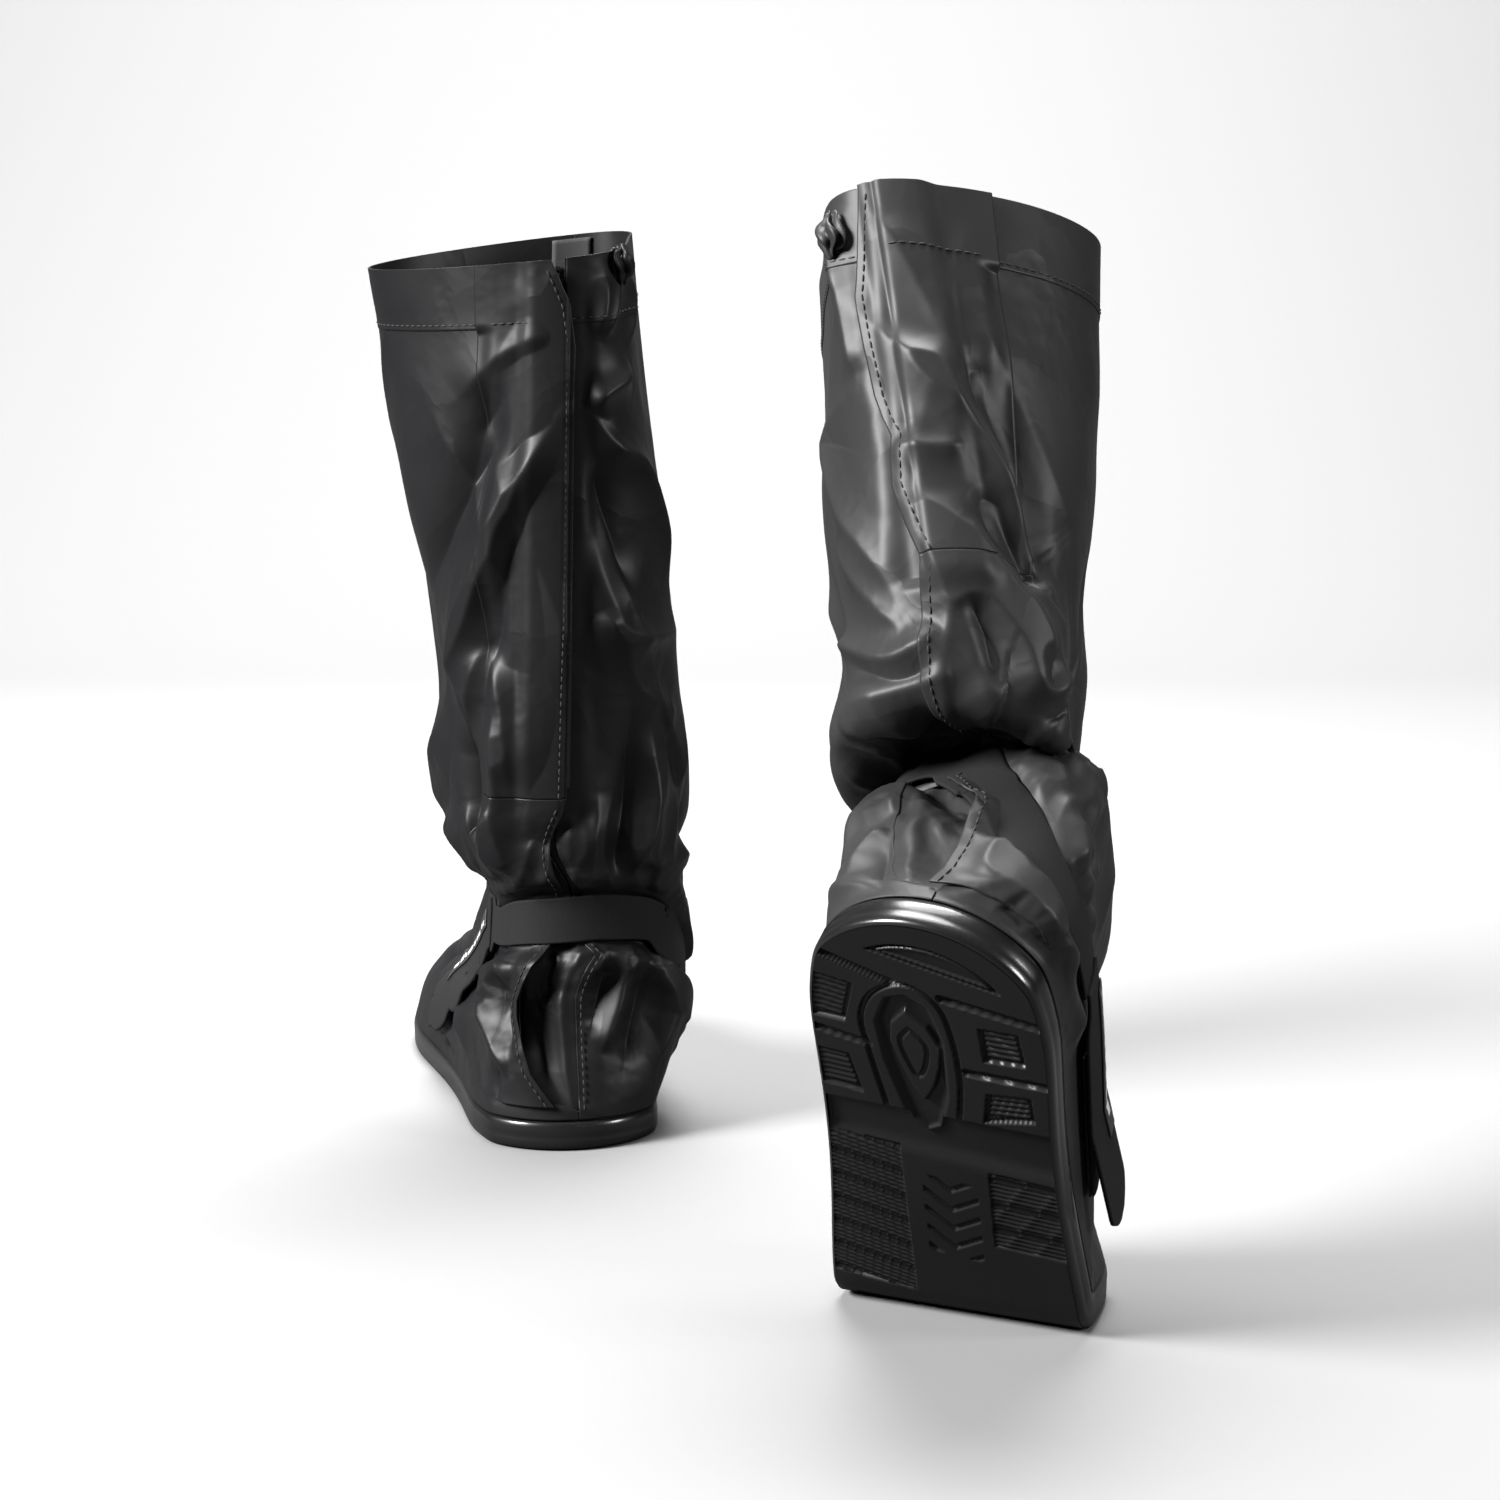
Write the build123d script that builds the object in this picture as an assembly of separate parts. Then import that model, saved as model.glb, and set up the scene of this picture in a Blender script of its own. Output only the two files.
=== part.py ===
from build123d import *
import math
import os

# A pair of tall waterproof rain overboots: thin coated cloth shafts on moulded rubber soles.
# The left boot stands flat; the right boot is lifted at the heel with its toe on the ground.
# World frame: +X right, +Y forward (heel to toe), +Z up, ground at z = 0.

# ---- driving dimensions, mm and degrees ----
sole_thickness = 14.0          # rubber sole and rand, ground to cloth edge
sole_lip = 1.5                 # rand stands proud of the cloth foot
tread_depth = 2.5              # depth of the tread grooves
tread_rim = 11.0               # plain rim round the tread
bar_groove_width = 4.0         # cross grooves in the heel and forefoot
bar_groove_pitch = 13.0        # spacing of the cross grooves
heel_tread = (18.0, 96.0)      # first and last groove of the heel, from the back
forefoot_tread = (150.0, 196.0)
toe_tread = (232.0, 262.0)
heel_rear = 46.0               # centre of the heel arc, from the back of the sole
foot_toe_centre = 228.0        # centre of the toe arc, from the back of the sole
toe_arc = 60.0                 # depth of the toe arc
heel_half_width = 46.0
forefoot_half_width = 55.0
waist_narrowing = 5.0          # waist of the sole, each side
board_thickness = 2.5          # insole board
board_inset = 3.0              # board edge, in from the cloth
cloth = 1.2                    # laminated panel cloth
layer_gap = 0.5                # clearance between cloth layers
binding = 0.8                  # hem, tape and touch fastener thickness
hem_height = 30.0              # turned hem at the rim
seam_tape_width = 20.0         # tape behind the front seam
zip_panel_gap = 4.6            # zip centre line to panel edge
tape_width = 12.0              # each zip tape
coil_inner = 0.6               # zip centre line to the coil
coil_width = 1.9
coil_height = 1.8
slider_width = 8.4
slider_length = 10.0
slider_plate = 1.0             # top and bottom plates of the slider
running_clearance = 0.35       # slider to coil, tape and flap
pin_diameter = 0.9
puller_length = 14.0
puller_width = 5.0
puller_thickness = 1.0
flap_cloth = 1.0
flap_root = 30.0               # storm flap seam, from the zip centre line
flap_reach = 10.5              # storm flap free edge, past the zip centre line
flap_clearance = 6.0           # storm flap over the zip, from the cloth
heel_flap_ease = 0.4           # slack under the fixed lower stretch of the flap
flap_corner_back = 7.0         # turned back top corner, short of the zip centre line
flap_corner_height = 28.0
fastener_width = 3.4           # touch fastener strips of the flap
heel_slit_half = 9.0           # almond opening above the heel, half width
gusset_half = 19.0             # gusset cloth behind the opening, half width
strap_width = 23.0
strap_thickness = 1.3
tab_width = 27.0
tab_thickness = 1.4
tab_pad_width = 18.0
hook_thickness = 0.45          # hook side of the tab's touch fastener
label_width = 9.0
reflector_width = 34.0
reflector_height = 14.0
cuff_elastic_width = 8.0
toe_bend_length = 26.0         # sole length taken up by the toe bend
ball_position = 213.0          # ball line, from the back of the sole

# Rings of the cloth foot, above the ground: height, sideways shift, rear centre, rear arc,
# rear half width, front centre, front arc, front half width, waist.
foot_rings = [
    (sole_thickness, 1, heel_rear, heel_rear, heel_half_width,
     foot_toe_centre, toe_arc, forefoot_half_width, waist_narrowing),
    (30, 5, 47, 46, 48, 226, 60, 54, 3),
    (50, 9, 50, 45, 49, 200, 66, 49, 0),
    (70, 13, 54, 45, 48, 132, 80, 45, 0),
    (86, 15, 58, 45, 46, 102, 66, 43, 0),
    (98, 15, 60, 45, 44, 92, 55, 42, 0),
    (121, 14, 61, 45, 43, 88, 49, 41, 0),
]

# Each boot: side (-1 left, +1 right), place of its pivot, pivot in foot coordinates, toe-out,
# heel lift, slant of the ball line, zip line ends, shaft rings (height on the zip line,
# centre x, half width, half depth, tilt about X, tilt about Y, push of the ring in Y),
# height where the zip runs straight. The strap's middle line: back is angle round the heel in
# degrees and height over the sole; tab and medial are place from the heel and height.
boots = {
    "left": dict(
        side=-1, place=(-92, 1389), pivot=(0, heel_rear), toe_out=13, lift=0, slant=0,
        zip_line=((-97, 1352, 120), (-88.5, 1326, 419)),
        shaft=[(147, -89, 58, 64, 6, -1, 0), (167, -91, 61, 67, 6, 0, 0),
               (215, -92, 56.5, 67, 6, 2, 0), (300, -105, 60.5, 70, 6, 0, 0),
               (419, -120, 61.5, 73, 7, -6, 0)],
        straight_from=170,
        strap=dict(back=[(-60, 100), (-35, 106.5), (-5, 109), (20, 109), (47, 102), (62, 90)],
                   tab=[(57, 97), (76, 86), (104, 68), (140, 48), (176, 29)],
                   medial=[(48, 77), (68, 60), (90, 46)])),
    "right": dict(
        side=1, place=(83, 1098), pivot=(0, ball_position), toe_out=-19, lift=57, slant=-9,
        zip_line=((75, 1060, 285), (54, 1121, 438)),
        shaft=[(250, 80, 47, 62, -34, 10, 5), (285, 85, 45, 64, -26, 4, 0),
               (297, 84, 46, 66, -24, 2, 0), (350, 84, 52, 70, -20, 0, 0),
               (438, 86, 55, 75, -17, 0, 0)],
        straight_from=299,
        strap=dict(back=[(-58, 48), (-32, 54), (-12, 70), (10, 89), (28, 99), (50, 103)],
                   tab=[(62, 50), (86, 48), (114, 45), (144, 40), (174, 33)],
                   medial=[(57, 99), (80, 82), (104, 58)])),
}
world_shift = (21.6, -1300.3)   # moves the pair so that its box is centred on the origin


def smooth(t):
    t = min(max(t, 0.0), 1.0)
    return t * t * t * (t * (6 * t - 15) + 10)


def turned(p, axis, degrees):
    """Turns a point about X, Y or Z through the origin."""
    x, y, z = p
    c, s = math.cos(math.radians(degrees)), math.sin(math.radians(degrees))
    if axis == "X":
        return x, c * y - s * z, s * y + c * z
    if axis == "Y":
        return c * x + s * z, y, c * z - s * x
    return c * x - s * y, s * x + c * y, z


def foot_section(u, shift, rear, rear_arc, rear_half, front, front_arc, front_half, waist):
    """A level section of the foot: u = 0 at the back of the heel, pi at the toe."""
    t = abs(math.remainder(u, 2 * math.pi)) / math.pi
    s = smooth((t - 0.3) / 0.4)
    arc = rear_arc + (front_arc - rear_arc) * s
    half = rear_half + (front_half - rear_half) * s
    half -= waist * max(0.0, 1 - ((t - 0.49) / 0.1) ** 2) ** 2
    x = half * math.sin(u) + shift * math.sin(u) ** 2
    return x, rear + (front - rear) * s - arc * math.cos(u)


class Boot:
    """One boot's cloth form: surface(u, v), u round the leg and v from the sole to the rim."""

    def __init__(self, name, side, place, pivot, toe_out, lift, slant, zip_line, shaft,
                 straight_from, strap):
        self.name, self.side, self.place, self.pivot = name, side, place, pivot
        self.toe_out, self.lift, self.slant = toe_out, lift, slant
        self.zip_low, self.zip_high = Vector(*zip_line[0]), Vector(*zip_line[1])
        self.shaft, self.straight_from, self.strap = shaft, straight_from, strap
        self.top = len(foot_rings) + len(shaft) - 1
        self.nodes = {}

    def bend(self, x, y, z):
        """Lifts the foot behind the ball line; the toe stays flat on the ground."""
        if not self.lift:
            return x, y, z
        angle = math.radians(self.lift)
        a, b, _ = turned((x, y, z), "Z", -self.slant)
        ball = ball_position * math.cos(math.radians(self.slant))
        back = ball - b
        half = toe_bend_length / 2
        k = angle / toe_bend_length
        t = min(max(back + half, 0.0), toe_bend_length)
        low = min(z, sole_thickness)
        along = -back if t == 0 else half - math.sin(k * t) / k
        up = 0.0 if t == 0 else (1 - math.cos(k * t)) / k
        rest = back - half
        if rest > 0:
            along -= rest * math.cos(angle)
            up += rest * math.sin(angle)
        along += low * math.sin(k * t)
        up += low * math.cos(k * t)
        wide = half + 0.75 * (z - low)
        turn = angle * min(max((back + wide) / (2 * wide), 0.0), 1.0)
        along += (z - low) * math.sin(turn)
        up += (z - low) * math.cos(turn)
        return turned((a, ball + along, up), "Z", self.slant)

    def foot(self, x, y, z):
        """World point of foot coordinates: x to the medial side, y from the heel, z up."""
        px, py, pz = self.bend(-self.side * x, y, z)
        px, py, pz = turned((px - self.pivot[0], py - self.pivot[1], pz), "Z", self.toe_out)
        return Vector(px + self.place[0] + world_shift[0],
                      py + self.place[1] + world_shift[1], pz)

    def zip_point(self, z):
        t = (z - self.zip_low.Z) / (self.zip_high.Z - self.zip_low.Z)
        return self.zip_low + (self.zip_high - self.zip_low) * t + Vector(*world_shift, 0)

    def ring_point(self, i, u):
        if i < len(foot_rings):
            height, *section = foot_rings[i]
            x, y = foot_section(u, *section)
            return self.foot(x, y, height)
        z, centre, half, depth, tilt_x, tilt_y, push = self.shaft[i - len(foot_rings)]
        base = self.zip_point(z)
        m = -self.side * u
        shift = centre + world_shift[0] - base.X
        p = (half * math.sin(m) + shift * math.sin(m) ** 2, depth * (1 - math.cos(m)), 0)
        return base + Vector(0, push, 0) + Vector(*turned(turned(p, "Y", tilt_y), "X", tilt_x))

    def surface(self, u, v):
        """Smooth curve in v through the rings, with tangents weighted by chord length."""
        i = min(max(int(v), 0), self.top - 1)
        t = v - i
        p1, p2 = self.ring(i, u), self.ring(i + 1, u)
        p0 = self.ring(i - 1, u) if i else p1 * 2 - p2
        p3 = self.ring(i + 2, u) if i + 2 <= self.top else p2 * 2 - p1
        a, b, c = (p1 - p0).length, (p2 - p1).length, (p3 - p2).length
        m1 = ((p1 - p0) / a - (p2 - p0) / (a + b) + (p2 - p1) / b) * b
        m2 = ((p2 - p1) / b - (p3 - p1) / (b + c) + (p3 - p2) / c) * b
        t2, t3 = t * t, t * t * t
        return (p1 * (2 * t3 - 3 * t2 + 1) + m1 * (t3 - 2 * t2 + t)
                + p2 * (3 * t2 - 2 * t3) + m2 * (t3 - t2))

    def ring(self, i, u):
        key = i, round(u, 9)
        if key not in self.nodes:
            self.nodes[key] = self.ring_point(i, u)
        return self.nodes[key]

    def frame(self, u, v):
        """Point, slope along u, slope along v and outward normal."""
        step = 1e-3
        p = self.surface(u, v)
        along_u = (self.surface(u + step, v) - self.surface(u - step, v)) / (2 * step)
        along_v = (self.surface(u, v + step) - self.surface(u, v - step)) / (2 * step)
        normal = along_u.cross(along_v).normalized() * -self.side
        return p, along_u, along_v, normal

    def angle_of(self, width, v, at=0.0):
        """The change of u that covers a width on the cloth next to u = at."""
        p, along_u, _, _ = self.frame(at, v)
        return width / along_u.length

    def height_v(self, height):
        """The v of a height over the sole, within the foot rings."""
        heights = [ring[0] for ring in foot_rings]
        for i in range(len(heights) - 1):
            if height <= heights[i + 1]:
                return i + (height - heights[i]) / (heights[i + 1] - heights[i])
        return len(heights) - 1.0

    def below_rim(self, distance):
        last = (self.ring(self.top, 0) - self.ring(self.top - 1, 0)).length
        return self.top - distance / last

    def v_of_zip(self, z):
        """The v of a height on the zip line."""
        low, high = len(foot_rings), self.top
        for _ in range(40):
            middle = (low + high) / 2
            low, high = (middle, high) if self.surface(0, middle).Z < z else (low, middle)
        return low


def spread(a, b, count):
    return [a + (b - a) * i / count for i in range(count + 1)]


def value(setting, *args):
    return setting(*args) if callable(setting) else setting


def sheet(boot, v_low, v_high, u_from, u_to, height, thickness, across=12, along=40):
    """Cloth over the form, its under side at a height over the form."""
    low, high = [], []
    for v in spread(v_low, v_high, along):
        first, last = value(u_from, v), value(u_to, v)
        frames = [(u, boot.frame(u, v)) for u in
                  (first + (last - first) * (1 - math.cos(math.pi * t)) / 2
                   for t in spread(0, 1, across))]
        low.append([f[0] + f[3] * value(height, u, v) for u, f in frames])
        high.append([f[0] + f[3] * (value(height, u, v) + thickness) for u, f in frames])
    return skin(low, high)


def skin(low_rows, high_rows):
    """A closed solid between two sheets of points that run side by side."""
    if len(low_rows) > len(low_rows[0]):
        low_rows, high_rows = list(zip(*low_rows)), list(zip(*high_rows))
    low = [Edge.make_spline(row) for row in low_rows]
    high = [Edge.make_spline(row) for row in high_rows]
    ruled = Face.make_surface_from_curves
    faces = [ruled(low[0], high[0]), ruled(low[-1], high[-1])]
    for i in range(len(low) - 1):
        faces += [ruled(low[i], low[i + 1]), ruled(high[i], high[i + 1])]
        for end in (0, -1):
            faces.append(ruled(Edge.make_line(low_rows[i][end], low_rows[i + 1][end]),
                               Edge.make_line(high_rows[i][end], high_rows[i + 1][end])))
    return Solid(Shell(faces))


# ---- the rubber sole and the insole board ----
def sole_outline(boot, grow):
    """Foot outline at the sole, grown sideways, as a list of (x, y) with x to the right."""
    height, shift, rear, rear_arc, rear_half, front, front_arc, front_half, waist = foot_rings[0]
    points = []
    for u in spread(0, 2 * math.pi, 72)[:-1]:
        x, y = foot_section(u, shift, rear, rear_arc + grow, rear_half + grow, front,
                            front_arc + grow, front_half + grow, waist)
        points.append((-boot.side * x, y))
    return points


def plate(boot, grow, low, high):
    """A plate that follows the sole: flat at the toe, bent at the ball, straight to the heel."""
    outline = Face(Wire([Spline(*sole_outline(boot, grow), periodic=True)]))
    if not boot.lift:
        return set_down(boot, Pos(0, 0, low) * extrude(outline, high - low))
    ball = ball_position * math.cos(math.radians(boot.slant))
    half = toe_bend_length / 2
    turned_outline = outline.rotate(Axis.Z, -boot.slant)
    reach = 400
    toe = turned_outline & (Pos(0, ball + half + reach / 2) * Rectangle(reach, reach)).face()
    heel = turned_outline & (Pos(0, ball - half - reach / 2) * Rectangle(reach, reach)).face()
    middle = turned_outline & (Pos(0, ball) * Rectangle(reach, 0.2)).face()
    box = middle.bounding_box()
    radius = toe_bend_length / math.radians(boot.lift)
    centre = Axis((0, ball + half, radius), (-1, 0, 0))
    section = Plane.XZ.offset(-(ball + half)) * (
        Pos((box.min.X + box.max.X) / 2, (low + high) / 2) * Rectangle(box.size.X, high - low))
    rise = (0, 0, 1)
    body = Pos(0, 0, low) * extrude(toe, high - low, dir=rise)
    body += revolve(section, centre, boot.lift)
    body += (Pos(0, 2 * half, low) * extrude(heel, high - low, dir=rise)).rotate(centre, boot.lift)
    return set_down(boot, body.rotate(Axis.Z, boot.slant))


def carried(boot, shape):
    """Moves a solid of the heel or arch from the flat foot to the lifted foot."""
    if boot.lift:
        ball = ball_position * math.cos(math.radians(boot.slant))
        half = toe_bend_length / 2
        radius = toe_bend_length / math.radians(boot.lift)
        centre = Axis((0, ball + half, radius), (-1, 0, 0))
        shape = Pos(0, 2 * half, 0) * shape.rotate(Axis.Z, -boot.slant)
        shape = shape.rotate(centre, boot.lift).rotate(Axis.Z, boot.slant)
    return set_down(boot, shape)


def treaded(boot, sole):
    """Cuts the cross grooves of the heel, forefoot and toe."""
    for first, last in (heel_tread, forefoot_tread, toe_tread):
        for y in spread(first, last, round((last - first) / bar_groove_pitch)):
            half = heel_half_width if y < heel_rear * 2 else forefoot_half_width - 6
            end = max(heel_rear - y, y - foot_toe_centre, 0.0) / heel_rear
            reach = (half - tread_rim) * math.sqrt(max(1 - end * end, 0.1))
            groove = Pos(0, y, tread_depth / 2 - 1) * Box(
                2 * reach, bar_groove_width, tread_depth + 2)
            move = set_down if y > ball_position else carried
            sole -= move(boot, groove)
    return sole


def set_down(boot, shape):
    """Moves a shape from the foot's own place to where the boot stands."""
    shape = Pos(-boot.pivot[0], -boot.pivot[1], 0) * shape
    return Pos(boot.place[0] + world_shift[0], boot.place[1] + world_shift[1], 0) * (
        Rot(0, 0, boot.toe_out) * shape)


# ---- cloth pieces ----
seam_gap = layer_gap / 2       # half of the gap between two cloth edges that meet
inside = -layer_gap - binding  # under side of what is sewn inside the panels
outside = cloth + layer_gap    # under side of what is sewn on the panels
sole_gap = 0.035               # first v of the cloth, just clear of the sole


def opening_half(boot, v):
    """Half width of the opening at the back: heel slit, then the zip gap of the shaft."""
    slit = math.sin(math.pi * min(max((v - 0.8) / 4.0, 0.0), 1.0)) ** 2
    shaft = smooth((v - 4.2) / 1.2)
    return seam_gap + (heel_slit_half - seam_gap) * slit + (zip_panel_gap - seam_gap) * shaft


def panel(boot, way):
    """One half of the boot, from the back opening to the front seam; way is +1 on the medial."""
    def back(v):
        return way * boot.angle_of(opening_half(boot, v), v)

    def front(v):
        return way * (math.pi - boot.angle_of(seam_gap, v, math.pi))
    return sheet(boot, sole_gap, boot.top, back, front, 0.0, cloth, across=24, along=33)


def front_seam_tape(boot):
    def edge(side):
        return lambda v: math.pi + side * boot.angle_of(seam_tape_width / 2, v, math.pi)
    return sheet(boot, 0.3, boot.below_rim(2), edge(-1), edge(1), inside, binding, 4, 33)


def hem_band(boot):
    def edge(way):
        return lambda v: (0 if way > 0 else 2 * math.pi) + way * boot.angle_of(
            zip_panel_gap + 1, v)
    return sheet(boot, boot.below_rim(hem_height), boot.top, edge(1), edge(-1), outside,
                 binding, 36, 4)


def cuff_elastic(boot):
    low, high = boot.below_rim(20 + cuff_elastic_width), boot.below_rim(20)
    return sheet(boot, low, high, math.radians(28), math.radians(75), inside, binding, 8, 3)


def shin_reflector(boot):
    middle = 24 + hem_height
    low = boot.below_rim(middle + reflector_height / 2)
    high = boot.below_rim(middle - reflector_height / 2)
    centre = math.radians(-104)
    half = boot.angle_of(reflector_width / 2, high, centre)
    return sheet(boot, low, high, centre - half, centre + half, outside, 0.5, 6, 4)


def heel_gusset(boot):
    def edge(way):
        return lambda v: way * boot.angle_of(gusset_half, v)
    return sheet(boot, 0.5, 4.55, edge(-1), edge(1), inside, binding, 10, 14)


def heel_flap(boot):
    """Fixed lower stretch of the flap: over the zip's lower end, under the strap, to the heel."""
    def root(v):
        return boot.angle_of(-flap_root + 4, v)

    def free(v):
        return boot.angle_of(2.0 + (flap_reach - 2.0) * smooth((v - 3.5) / 2), v)

    def height(u, v):
        rise = smooth((v - boot.v_straight + 1.3) / 0.8)
        over_zip = math.exp(-(u / boot.angle_of(9, v)) ** 2)
        return outside + heel_flap_ease + (flap_clearance - outside - 1.6) * rise * over_zip
    return sheet(boot, 1.2, boot.v_straight - 0.03, root, free, height, cloth - 0.3, 12, 26)


# ---- zip, built on the straight zip line ----
def zip_strip(boot, way, near, far, height, thickness, v_low, v_high, across=2):
    def edge(width):
        return lambda v: way * boot.angle_of(width, v)
    return sheet(boot, v_low, v_high, edge(near), edge(far), height, thickness, across, 24)


def zip_frame(boot, z):
    """Plane on the zip line: X across to the right, Y up the zip, Z out of the cloth."""
    up = (boot.zip_high - boot.zip_low).normalized()
    out = up.cross(Vector(1, 0, 0)).normalized() * -1
    if out.Y > 0:
        out = out * -1
    return Plane(boot.zip_point(z), x_dir=up.cross(out), z_dir=out)


pin_height = 2.0 + slider_plate + 1.2   # puller pin over the cloth form


def slider_body(frame):
    top_low = coil_height - 0.2 + running_clearance
    plate_size = (slider_width, slider_length, slider_plate)
    bottom_high = inside - 0.1 - running_clearance
    body = Pos(0, 0, top_low + slider_plate / 2) * Box(*plate_size)
    body += Pos(0, 0, bottom_high - slider_plate / 2) * Box(*plate_size)
    post_low, post_high = bottom_high - slider_plate / 2, top_low + slider_plate / 2
    body += Pos(0, slider_length / 2 - 1.5, (post_low + post_high) / 2) * Box(
        2 * (coil_inner - running_clearance), 3.0, post_high - post_low)
    for way in (-1, 1):
        ear = Pos(way * 1.9, 0, (top_low + pin_height + 1) / 2) * Box(
            0.9, 2.2, pin_height + 1 - top_low)
        body += ear
    body += Pos(0, 0, pin_height) * Rot(0, 90, 0) * Cylinder(pin_diameter / 2, 4.0)
    return frame * body


def puller_body(frame):
    barrel = Rot(0, 90, 0) * Cylinder(1.0, 2.4)
    tongue = Pos(0, -puller_length / 2 - 1.6, 0) * Box(
        puller_width, puller_length, puller_thickness)
    neck = Pos(0, -1.6, 0) * Box(2.0, 2.4, puller_thickness)
    hole = Rot(0, 90, 0) * Cylinder(pin_diameter / 2 + 0.08, 9)
    shape = fillet(tongue.edges().filter_by(Axis.Z), 1.2) + neck + barrel - hole
    return frame * (Pos(0, 0, pin_height) * shape)


def zip_stops(boot, z_low, z_high):
    low, high = zip_frame(boot, z_low), zip_frame(boot, z_high)
    middle = coil_height / 2 - 0.1
    bottom = low * (Pos(0, 0, middle) * Box(5.0, 3.0, coil_height))
    tops = [high * (Pos(way * (coil_inner + coil_width / 2), 0, middle) * Box(
        coil_width, 2.0, coil_height)) for way in (-1, 1)]
    return Compound([bottom.solid()] + [top.solid() for top in tops])


# ---- storm flap ----
def flap_profile(width):
    """Height of the flap over the cloth, by its distance from the zip centre line."""
    rise = smooth((width + 16) / 10)
    fall = smooth((width - 4.6) / 3.2)
    base = outside + binding + layer_gap
    edge = outside + 2 * binding + 2 * layer_gap
    return base + (flap_clearance - base) * rise - (flap_clearance - edge) * fall


def hinge_line(boot):
    """Straight line along the flap's seam, clear of the cloth, low end first."""
    vs = spread(boot.v_straight, boot.top, 12)
    frames = [boot.frame(boot.angle_of(-flap_root, v), v) for v in vs]
    points = [p + normal * flap_profile(-flap_root) for p, _, _, normal in frames]
    out = frames[len(frames) // 2][3]
    low, high = points[0], points[-1]
    along = (high - low).normalized()
    worst = max((p - low).dot(out) - (p - low).dot(along) * along.dot(out) for p in points)
    return low + out * max(worst, 0.0), high + out * max(worst, 0.0)


def storm_flap(boot):
    """Cloth strip from its straight seam over the zip, its top free corner turned back."""
    low, high = hinge_line(boot)
    along = (high - low).normalized()
    inner, outer = [], []
    for v in spread(boot.v_straight, boot.top, 24):
        below = (boot.surface(0, boot.top) - boot.surface(0, v)).length
        free = -flap_corner_back + (flap_reach + flap_corner_back) * smooth(
            (below - flap_corner_height) / 18)
        inner_row, outer_row = [], []
        for k, width in enumerate(spread(-flap_root, free, 16)):
            p, _, _, normal = boot.frame(boot.angle_of(width, v), v)
            p = p + normal * flap_profile(width)
            if k == 0:
                pull = low + along * (p - low).dot(along) - p
            p = p + pull * (1 - smooth((width + flap_root) / 14))
            inner_row.append(p)
            outer_row.append(p + normal * flap_cloth)
        inner.append(inner_row)
        outer.append(outer_row)
    return skin(inner, outer)


def flap_strip(boot, height):
    far, near = flap_reach - 0.5, flap_reach - 0.5 - fastener_width
    return zip_strip(boot, 1, near, far, height, binding, boot.v_straight + 0.1,
                     boot.below_rim(flap_corner_height + 22))


# ---- strap and tab ----
def lateral_station(boot, y, z, way=-1):
    """The (u, v) on the side of the foot at y from the heel and z over the sole."""
    v = boot.height_v(z)
    i = min(int(v), len(foot_rings) - 2)
    t = v - i
    low, high = 0.02, math.pi - 0.02
    for _ in range(40):
        middle = (low + high) / 2
        below, above = (foot_section(middle, *foot_rings[k][1:])[1] for k in (i, i + 1))
        low, high = (middle, high) if below + (above - below) * t < y else (low, middle)
    return way * low, v


def curve_through(stations, count):
    """Points along a smooth curve through (u, v) stations."""
    points = []
    last = len(stations) - 1
    for s in spread(0, last, count):
        i = min(int(s), last - 1)
        t = s - i
        p0, p1, p2, p3 = (stations[min(max(k, 0), last)] for k in range(i - 1, i + 3))
        points.append(tuple(0.5 * (2 * b + (c - a) * t + (2 * a - 5 * b + 4 * c - d) * t * t
                                   + (3 * b - a - 3 * c + d) * t ** 3)
                            for a, b, c, d in zip(p0, p1, p2, p3)))
    return points


def ribbon(boot, path, half_width, height, thickness, across=4):
    """A band along a path of (u, v) points, over the cloth."""
    low, high = [], []
    for i, (u, v) in enumerate(path):
        p, along_u, along_v, normal = boot.frame(u, v)
        before, after = path[max(i - 1, 0)], path[min(i + 1, len(path) - 1)]
        along = along_u * (after[0] - before[0]) + along_v * (after[1] - before[1])
        side = normal.cross(along.normalized())
        uu, uv, vv = along_u.dot(along_u), along_u.dot(along_v), along_v.dot(along_v)
        su, sv = side.dot(along_u), side.dot(along_v)
        det = uu * vv - uv * uv
        du, dv = (su * vv - sv * uv) / det, (sv * uu - su * uv) / det
        half = value(half_width, i / (len(path) - 1))
        frames = [boot.frame(u + du * w, v + dv * w) for w in spread(-half, half, across)]
        low.append([f[0] + f[3] * height for f in frames])
        high.append([f[0] + f[3] * (height + thickness) for f in frames])
    return skin(low, high)


strap_height = outside + heel_flap_ease + cloth + layer_gap   # under side of the strap


def strap_paths(boot):
    """Strap over the back of the ankle, and the tab down the lateral side."""
    lateral = [lateral_station(boot, y, z) for y, z in boot.strap["tab"]]
    medial = [lateral_station(boot, y, z, 1) for y, z in boot.strap["medial"]]
    back = [(math.radians(turn), boot.height_v(z)) for turn, z in boot.strap["back"]]
    whole = lateral[::-1] + back + medial
    path = curve_through(whole, 4 * (len(whole) - 1))
    split = 4 * (len(lateral) - 1)
    return path[split:], path[:split]


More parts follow.
